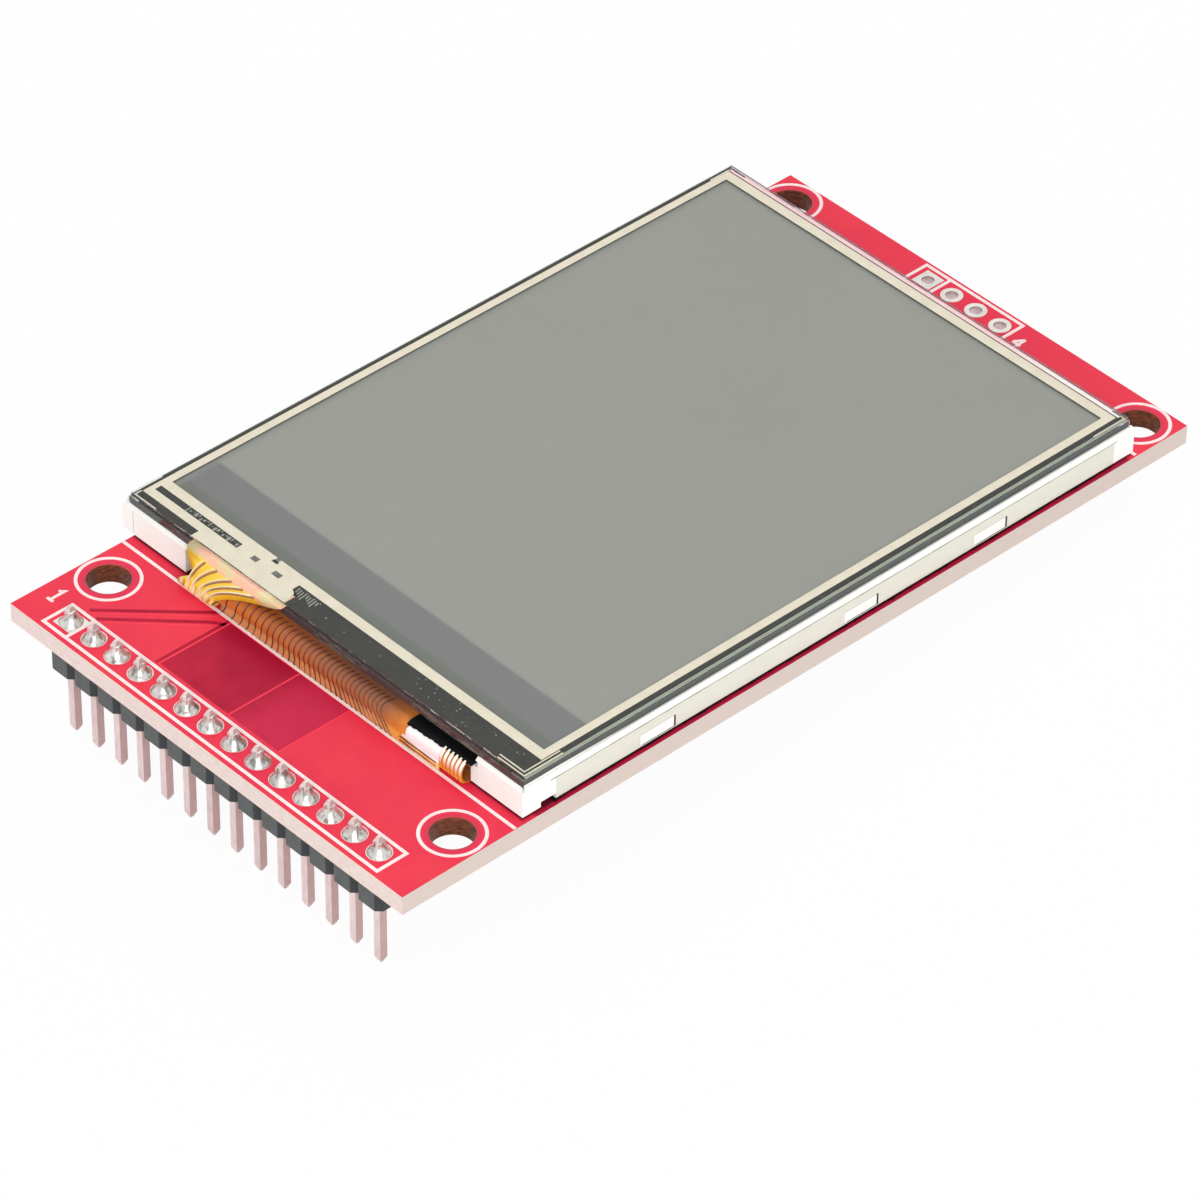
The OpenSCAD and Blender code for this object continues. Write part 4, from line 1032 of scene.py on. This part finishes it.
flex = {"amber": (232, 132, 48), "amberDark": (204, 102, 36), "plain": (252, 178, 40), "hazeAndShade": (142, 92, 68),
        "paleAgainstBounce": (214, 152, 98), "trace": (92, 56, 56), "traceDark": (96, 52, 48), "traceCount": 31,
        "traceRadius": 0.05, "yellow": (255, 224, 64), "yellowDark": (255, 198, 36), "ribs": 6, "footY": -30.2,
        "footEnd": 12.9, "bend": (-29.175, 2.585), "radius": 0.992, "fuller": 0.048, "bendStart": 72, "bendStep": 6}
mainLow, mainHigh = boxOf("display_flex")
bendY, bendZ = flex["bend"]


def surfaceOf(mesh):
    work = bmesh.new()
    work.from_mesh(mesh)
    found = BVHTree.FromBMesh(work)
    work.free()
    return found


def cast(surface, start, direction):
    # where a ray first meets a surface
    spot, normal, index, distance = surface.ray_cast(Vector(start) * mm, Vector(direction).normalized())
    return None if spot is None else (spot / mm, normal)


def castOnBend(surface, x, degrees):
    # the point of a flex's outer face at an angle round the centre of its bend
    a = math.radians(degrees)
    out = Vector((0, math.cos(a), math.sin(a)))
    return cast(surface, Vector((x, bendY, bendZ)) + out * 4, -out)


def paintAmber(tree, colour):
    x, y, z = axes(tree)
    right = mainHigh.x
    # plain yellowish end without traces, brighter at the foot
    plain = span(tree, x, right - 3.6, right - 0.2, 0.0, 0.75)
    colour = mix(tree, times(tree, plain, span(tree, z, 3.0, 2.2, 0.15, 1.0)), colour, flex["plain"])
    # brownish haze and painted shade up at the panel and along its middle: partly a translucent film, partly the shade
    # under the panel's edge
    height = calc(tree, "ADD", z, times(tree, noise(tree, place(tree, (0.5, 0.9, 0.9))), 1.2))
    hazeAndShade = times(tree, span(tree, height, 2.9, 4.0, 0.0, 0.9), span(tree, x, right - 17.0, right - 6.0, 0.35, 1.0))
    hazeAndShade = times(tree, hazeAndShade, span(tree, x, right - 2.6, right - 0.6, 1.0, 0.35))
    colour = mix(tree, hazeAndShade, colour, flex["hazeAndShade"])
    # painted light: paler and less saturated low down, to offset the red light the board throws on it
    low = times(tree, span(tree, z, 2.7, 2.2, 0.0, 0.75), calc(tree, "SUBTRACT", 1.0, plain))
    return mix(tree, low, colour, flex["paleAgainstBounce"])


flexAmber = finish("flexAmber", flex["amber"], flex["amberDark"], paintAmber, scale=0.9, smooth=0.4, rough=0.6,
                   bump=0.08, depth=0.02, specular=0.25)
dress(flexAmber, "display_flex")
traceBrown = finish("flexTrace", flex["trace"], flex["traceDark"], scale=5.0, smooth=0.2, rough=0.4, bump=0.1,
                    metallic=0.3)

# the bend, a little fuller than a circle half way round
rows, profile = [], []
for k in range(19):
    a = math.radians(flex["bendStart"] + flex["bendStep"] * k)
    radius = flex["radius"] + flex["fuller"] * max(0.0, math.sin(2 * (a - math.pi / 2)))
    y, z = bendY + radius * math.cos(a), bendZ + radius * math.sin(a)
    profile.append((y, z))
    rows.append([(Vector((mainLow.x + 0.02 + (mainHigh.x - mainLow.x - 0.04) * c / 24, y, z)),
                  Vector((0, math.cos(a), math.sin(a)))) for c in range(25)])
Form().sheet(rows, 0.04).make("flexBend", flexAmber, "flex_amber", smooth=True)


def addFoot(name, material, x0, x1, steps):
    # the outward lean of a bend's lower end, down to the board
    section = ((0.12, 0.01), (0, 0.01), (0, 0.3), (0.05, 0.75), (0.14, 0.95), (0.25, 0.8))
    rings = []
    for i in range(steps + 1):
        y = flex["footY"] + 0.02 * math.sin(i * 1.3) + 0.015 * math.sin(i * 0.5 + 1)
        rings.append([(x0 + (x1 - x0) * i / steps, y + out, top + up) for out, up in section])
    Form().loft(rings).make(name, material, "flex_amber", smooth=True)


addFoot("flexFoot", flexAmber, mainLow.x + 1.2, mainHigh.x, 40)

# traces: straight over the bend, then spreading towards the foot
profile += [(flex["footY"] + 0.04 - 0.006 * i, top + 0.78 - 0.11 * i) for i in range(8)]
paths = []
for k in range(flex["traceCount"]):
    s = k / (flex["traceCount"] - 1)
    path = []
    for i, (y, z) in enumerate(profile):
        t = i / (len(profile) - 1)
        fan = (-0.9 + 2.0 * s) * max(0.0, (t - 0.4) / 0.6) ** 1.5
        path.append((-9.3 + 16.2 * s ** 0.82 + fan - 0.22 * math.sin(math.pi * min(1.0, t * 1.2)), y, z))
    paths.append(path)
sweepPaths("flexTraces", "flex_amber", paths, flex["traceRadius"], traceBrown)


def paintTail(tree, colour):
    # a white end with a yellow foot, beside the amber coat
    x, y, z = axes(tree)
    cover = mix(tree, span(tree, z, top + 0.68, top + 0.58, 0.0, 0.9), (255, 252, 252), (255, 190, 84))
    return mix(tree, span(tree, x, flex["footEnd"], flex["footEnd"] + 0.1, 1.0, 0.0), colour, cover)


tailCoat = finish("tailCoat", (204, 116, 30), (168, 84, 16), paintTail, scale=2.0, smooth=0.18, rough=0.35, bump=0.1,
                  coat=0.3)
dress(tailCoat, "backlight_flex")
addFoot("tailFoot", tailCoat, mainHigh.x + 0.01, flex["footEnd"], 10)

# the tape strip over the step between the two flexes, torn along its lower edge
strip = {"top": 66, "bottom": 131, "slant": 12, "rows": 8, "columns": 40, "thickness": 0.06}
tapeSurface = surfaceOf(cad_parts["tail_tape"].data)
stripLow, stripHigh = boxOf("tail_tape")
rows = []
for r in range(strip["rows"] + 1):
    row = []
    for c in range(strip["columns"] + 1):
        share = c / strip["columns"]
        lowest = strip["bottom"] - strip["slant"] * share + 1.5 * math.sin(c * 1.9) + 1.2 * math.sin(c * 0.7)
        row.append(castOnBend(tapeSurface, stripLow.x + 0.02 + (stripHigh.x - stripLow.x - 0.04) * share,
                              strip["top"] + (lowest - strip["top"]) * r / strip["rows"]))
    if all(row):
        rows.append(row)
Form().sheet(rows, strip["thickness"]).make("tapeStrip", tapeBlack, "black_tape", "tail_tape")


def paintRibHighlight(tree, colour):
    # painted highlight: the ribs turn near white towards their tops
    return mix(tree, span(tree, axes(tree)[2], 2.5, 3.0), colour, (255, 246, 226))


tail = surfaceOf(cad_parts["backlight_flex"].data)
paths = []
for k in range(flex["ribs"]):
    hits = [castOnBend(tail, 13.08 + 0.4 * k, 114 + 5 * i) for i in range(24)]
    paths.append([hit[0] for hit in hits if hit])
sweepPaths("tailRibs", "flex_amber", [path for path in paths if len(path) > 3], 0.13,
           finish("ribGold", (246, 176, 70), (226, 146, 40), paintRibHighlight, smooth=0.12, rough=0.28, bump=0.2,
                  metallic=0.35), sides=10)
paths = [[(mainHigh.x - 0.6 + 0.42 * i, flex["footY"] - 0.01, z + 0.02 * math.sin(i * 1.7)) for i in range(10)]
         for z in (top + 0.58, top + 0.26)]
sweepPaths("tailLines", "flex_amber", paths, 0.045, finish("lineRed", (120, 20, 30), (90, 14, 24), scale=3.0))


def paintYellow(tree, colour):
    x, y, z = axes(tree)
    # deeper orange where it curls under at its foot
    colour = mix(tree, span(tree, z, 2.9, 1.9, 0.0, 0.5), colour, (232, 128, 14))
    # the glue shows through as peach and olive patches close to the glass
    patches = noise(tree, place(tree, (0.55, 0.4, 1.2)))
    glue = mix(tree, span(tree, patches, 0.46, 0.56), (250, 186, 160), (226, 206, 160))
    # painted highlights and shade on the creases where it is crumpled
    waves = addNode(tree, "ShaderNodeTexWave", {"Scale": 0.5, "Distortion": 6.0, "Detail": 3.0, "Detail Scale": 1.4,
                                                "Vector": place(tree)}, wave_type="BANDS", bands_direction="X")[1]
    foot = span(tree, z, 2.75, 2.35)
    colour = mix(tree, times(tree, span(tree, waves, 0.0, 0.2, 0.7, 0.0), foot), colour, (160, 70, 8))
    colour = mix(tree, times(tree, span(tree, waves, 0.78, 0.92), foot), colour, (255, 246, 226))
    height = calc(tree, "ADD", z, times(tree, patches, 0.5))
    height = calc(tree, "SUBTRACT", height, span(tree, x, flexLow.x + 1.0, flexLow.x + 4.0, 0.3, 0.0))
    return mix(tree, span(tree, height, 4.72, 4.88, 0.0, 0.92), colour, glue)


yellowFlex = finish("flexYellow", flex["yellow"], flex["yellowDark"], paintYellow, scale=0.9, smooth=0.12, rough=0.28,
                    bump=0.1, depth=0.03, coat=0.4)
dress(yellowFlex, "touch_flex")

# the touch flex is drawn in at its waist and crumpled at its foot
drape = {"longest": 0.45, "waistZ": 3.4, "waistSpan": 0.75, "drawIn": 1.25, "bulge": 0.17, "flare": 0.3,
         "footLeft": -14.5, "footRight": -10.9, "topZ": 4.88, "drop": 3.05, "steps": 25, "startY": -36}
work = mergedCopy("touch_flex")
bmesh.ops.triangulate(work, faces=work.faces)
for cut in range(2):
    long = [e for e in work.edges if e.calc_length() > drape["longest"] * mm]
    bmesh.ops.subdivide_edges(work, edges=long, cuts=1)
    bmesh.ops.triangulate(work, faces=work.faces)
bmesh.ops.recalc_face_normals(work, faces=work.faces)
for vert in work.verts:
    x, y, z = vert.co / mm
    waist = math.exp(-((z - drape["waistZ"]) / drape["waistSpan"]) ** 2) + 0.3 * limit(z - 3.6)
    waist *= limit((flexLow.x + 4.4 - x) / 4.0)
    foot = limit((2.9 - z) / 0.5) * (1.0 if y < flexLow.y + 1.4 else 0.0)
    crumple = 0.5 + 0.5 * math.sin(4.6 * x + 2.4 * z) * math.sin(2.3 * x - 5.0 * z)
    vert.co.x += drape["drawIn"] * waist * mm
    vert.co.y += drape["bulge"] * foot * crumple * mm
    vert.co.x -= drape["flare"] * foot * limit((flexLow.x + 2.2 - x) / 2.0) * mm
for side in work.faces:
    side.smooth = True
piece = settle(pieceFrom(work, "touchDrape", yellowFlex), "flex_yellow", "touch_flex")
drapeSurface = surfaceOf(piece.data)


def paintTraces(tree, colour):
    # painted highlight: bright at the foot, where the traces catch the light, and brownish further up
    return mix(tree, span(tree, axes(tree)[2], 2.7, 3.3), colour, (168, 128, 104))


def drapePath(share):
    path = []
    for i in range(drape["steps"] + 1):
        t = i / drape["steps"]
        ease = 1 - (1 - t) ** 2
        left = flexLow.x + (drape["footLeft"] - flexLow.x) * ease
        right = flexHigh.x + (drape["footRight"] - flexHigh.x) * ease
        start = (left + share * (right - left), drape["startY"], drape["topZ"] - drape["drop"] * t)
        hit = cast(drapeSurface, start, (0, 1, 0))
        if hit:
            path.append(hit[0])
    return path[2:]


sweepPaths("drapeTraces", "flex_yellow", [drapePath(share) for share in (0.27, 0.41, 0.58, 0.71, 0.84)], 0.085,
           finish("traceSilver", (255, 244, 224), (232, 214, 184), paintTraces, scale=5.0, smooth=0.12, rough=0.3,
                  bump=0.1, metallic=0.3))
# painted highlights: pale yellow strips beside the traces
sweepPaths("drapeShine", "flex_yellow", [drapePath(share) for share in (0.24, 0.37, 0.54, 0.67, 0.8)], 0.07,
           finish("shineYellow", (255, 250, 206), (255, 232, 130), scale=2.0, smooth=0.1, rough=0.2))
print("flexes dressed")

dress(finish("socketPlastic", (52, 52, 54), (38, 38, 40), scale=7.0, smooth=0.4, rough=0.6, bump=0.3, depth=0.02),
      "card_socket_base")
dress(finish("shellSteel", (176, 178, 178), (142, 144, 146), scale=2.0, bump=0.2, depth=0.02,
             stretch=(0.25, 4.0, 1), metallic=0.6), "card_socket_shell")
dress(finish("contactGold", (232, 190, 110), (206, 156, 76), smooth=0.15, rough=0.35, metallic=0.9), "card_contacts")


def bodyAndEnds(name, source, body, bodyDark, bodyHalf):
    # a component with tinned ends or leads: everything outside the body's box is metal
    low, high = boxOf(source)
    centre = (low + high) / 2
    box = ((centre.x - bodyHalf[0], centre.y - bodyHalf[1], low.z - 1),
           (centre.x + bodyHalf[0], centre.y + bodyHalf[1], high.z + 1), 0.01)
    material = finish(name, body, bodyDark, lambda tree, colour: mix(tree, inBox(tree, *box), leadTin, colour),
                      scale=8.0)
    tree = material.node_tree
    metal = times(tree, calc(tree, "SUBTRACT", 1.0, inBox(tree, *box)), 0.9)
    feed(tree, tree.nodes["Principled BSDF"].inputs["Metallic"], metal)
    dress(material, source)


leadTin, chipGrey, chipDark = (214, 212, 208), (40, 40, 43), (28, 28, 31)
bodyAndEnds("controllerChip", "touch_controller", chipGrey, chipDark, (2.52, 2.22))
bodyAndEnds("regulatorChip", "voltage_regulator", chipGrey, chipDark, (0.67, 1.47))
bodyAndEnds("transistorChip", "backlight_transistor", chipGrey, chipDark, (1.47, 0.67))
smallParts = [(kind, k) for kind in ("resistor", "capacitor") for k in range(1, 5)]
smallLooks = {"resistor": ((34, 34, 38), (24, 24, 28)), "capacitor": ((196, 160, 116), (176, 138, 96))}
for kind, k in smallParts:
    low, high = boxOf(f"{kind}_{k}")
    along = high.x - low.x > high.y - low.y
    bodyAndEnds(f"{kind}{k}", f"{kind}_{k}", *smallLooks[kind], (0.52, 2) if along else (2, 0.52))

# printed outlines and pin numbers under the board
under = {"line": 0.2, "thinLine": 0.12, "height": 0.018, "sink": 0.01, "margin": 0.25, "numberY": -36.6,
         "numberHeight": 0.95, "penWidth": 0.13, "copperHeight": 0.015, "trace": 0.25, "signal": 0.22}
low, high = -under["height"], under["sink"]
outlines = Form()
for k, spot in enumerate(pinSpots):
    addNumber(outlines, str(k + 1), spot.x, under["numberY"], under["numberHeight"], under["penWidth"], low, high,
              mirrored=True)
margins = [("card_socket_shell", 0.5, "line"), ("touch_controller", 0.4, "line"), ("voltage_regulator", 0.35, "line"),
           ("backlight_transistor", 0.35, "line")]
margins += [(f"{kind}_{k}", under["margin"], "thinLine") for kind, k in smallParts]
for name, margin, lineName in margins:
    a, b = boxOf(name)
    x0 = max(a.x - margin, boardLow.x + 0.3)
    outlines.stroke(rect(x0, a.y - margin, b.x + margin, b.y + margin), under[lineName], low, high, closed=True)
outlines.stroke(rect(hx0, hy0, hx1, hy1), line, low, high, closed=True)
addHoleRings(outlines, low, high)
outlines.make("silkUnder", silkInk, "board_red")

# traces that fan from the pins to the socket, the chip and the edge
low = -under["copperHeight"]
traces = Form()
for k, spot in enumerate(pinSpots):
    x = spot.x
    if k < 5:
        run = [(x, -33.0 - 0.5 * k), (x - 1.2, -31.8 - 0.5 * k), (x - 1.2, -4 + 1.2 * k)]
    elif k < 9:
        run = [(x, -26.5 + 0.6 * k), (x + 2.0, -24.5 + 0.6 * k), (x + 4.0, -24.5 + 0.6 * k)]
    else:
        j = k - 9
        run = [(x, -28 - 0.4 * j), (x + 1.0, -27 - 0.4 * j), (x + 1.0, -14.0 + 1.5 * j)]
    traces.stroke([(x, -37.4), *run], under["trace"], low, high)
for k in range(9):
    x, y = 12.0 + 0.5 * k, 3.9 + 2.5 * k
    traces.stroke([(8.5, y), (x - 1.5, y), (x, y - 1.5), (x, -2.0 - 0.6 * k)], under["signal"], low, high)
traces.make("copperUnder", copperRed, "board_red")
print("underside dressed")

# vias in two fields on the underside
via = {"spots": ((-12.5, -33.4), (-6.5, -33.0), (6.2, -33.8), (12.6, -34.5), (15.0, -32.8)), "shift": (1.2, 9.0),
       "sink": -0.002, "profile": ((0.16, -0.02), (0.34, -0.02), (0.34, 0.018), (0.26, 0.024), (0.16, 0.01))}
spots = [(x + share * via["shift"][0], y + share * via["shift"][1], via["sink"])
         for share in (0, 1) for x, y in via["spots"]]
settle(growCopies("vias", turnedModel("viaModel", via["profile"], 20), spots, padTin,
                  {"Turn": 0.0, "Ripple": 0.0, "Seed": 1}), "pad_metal")
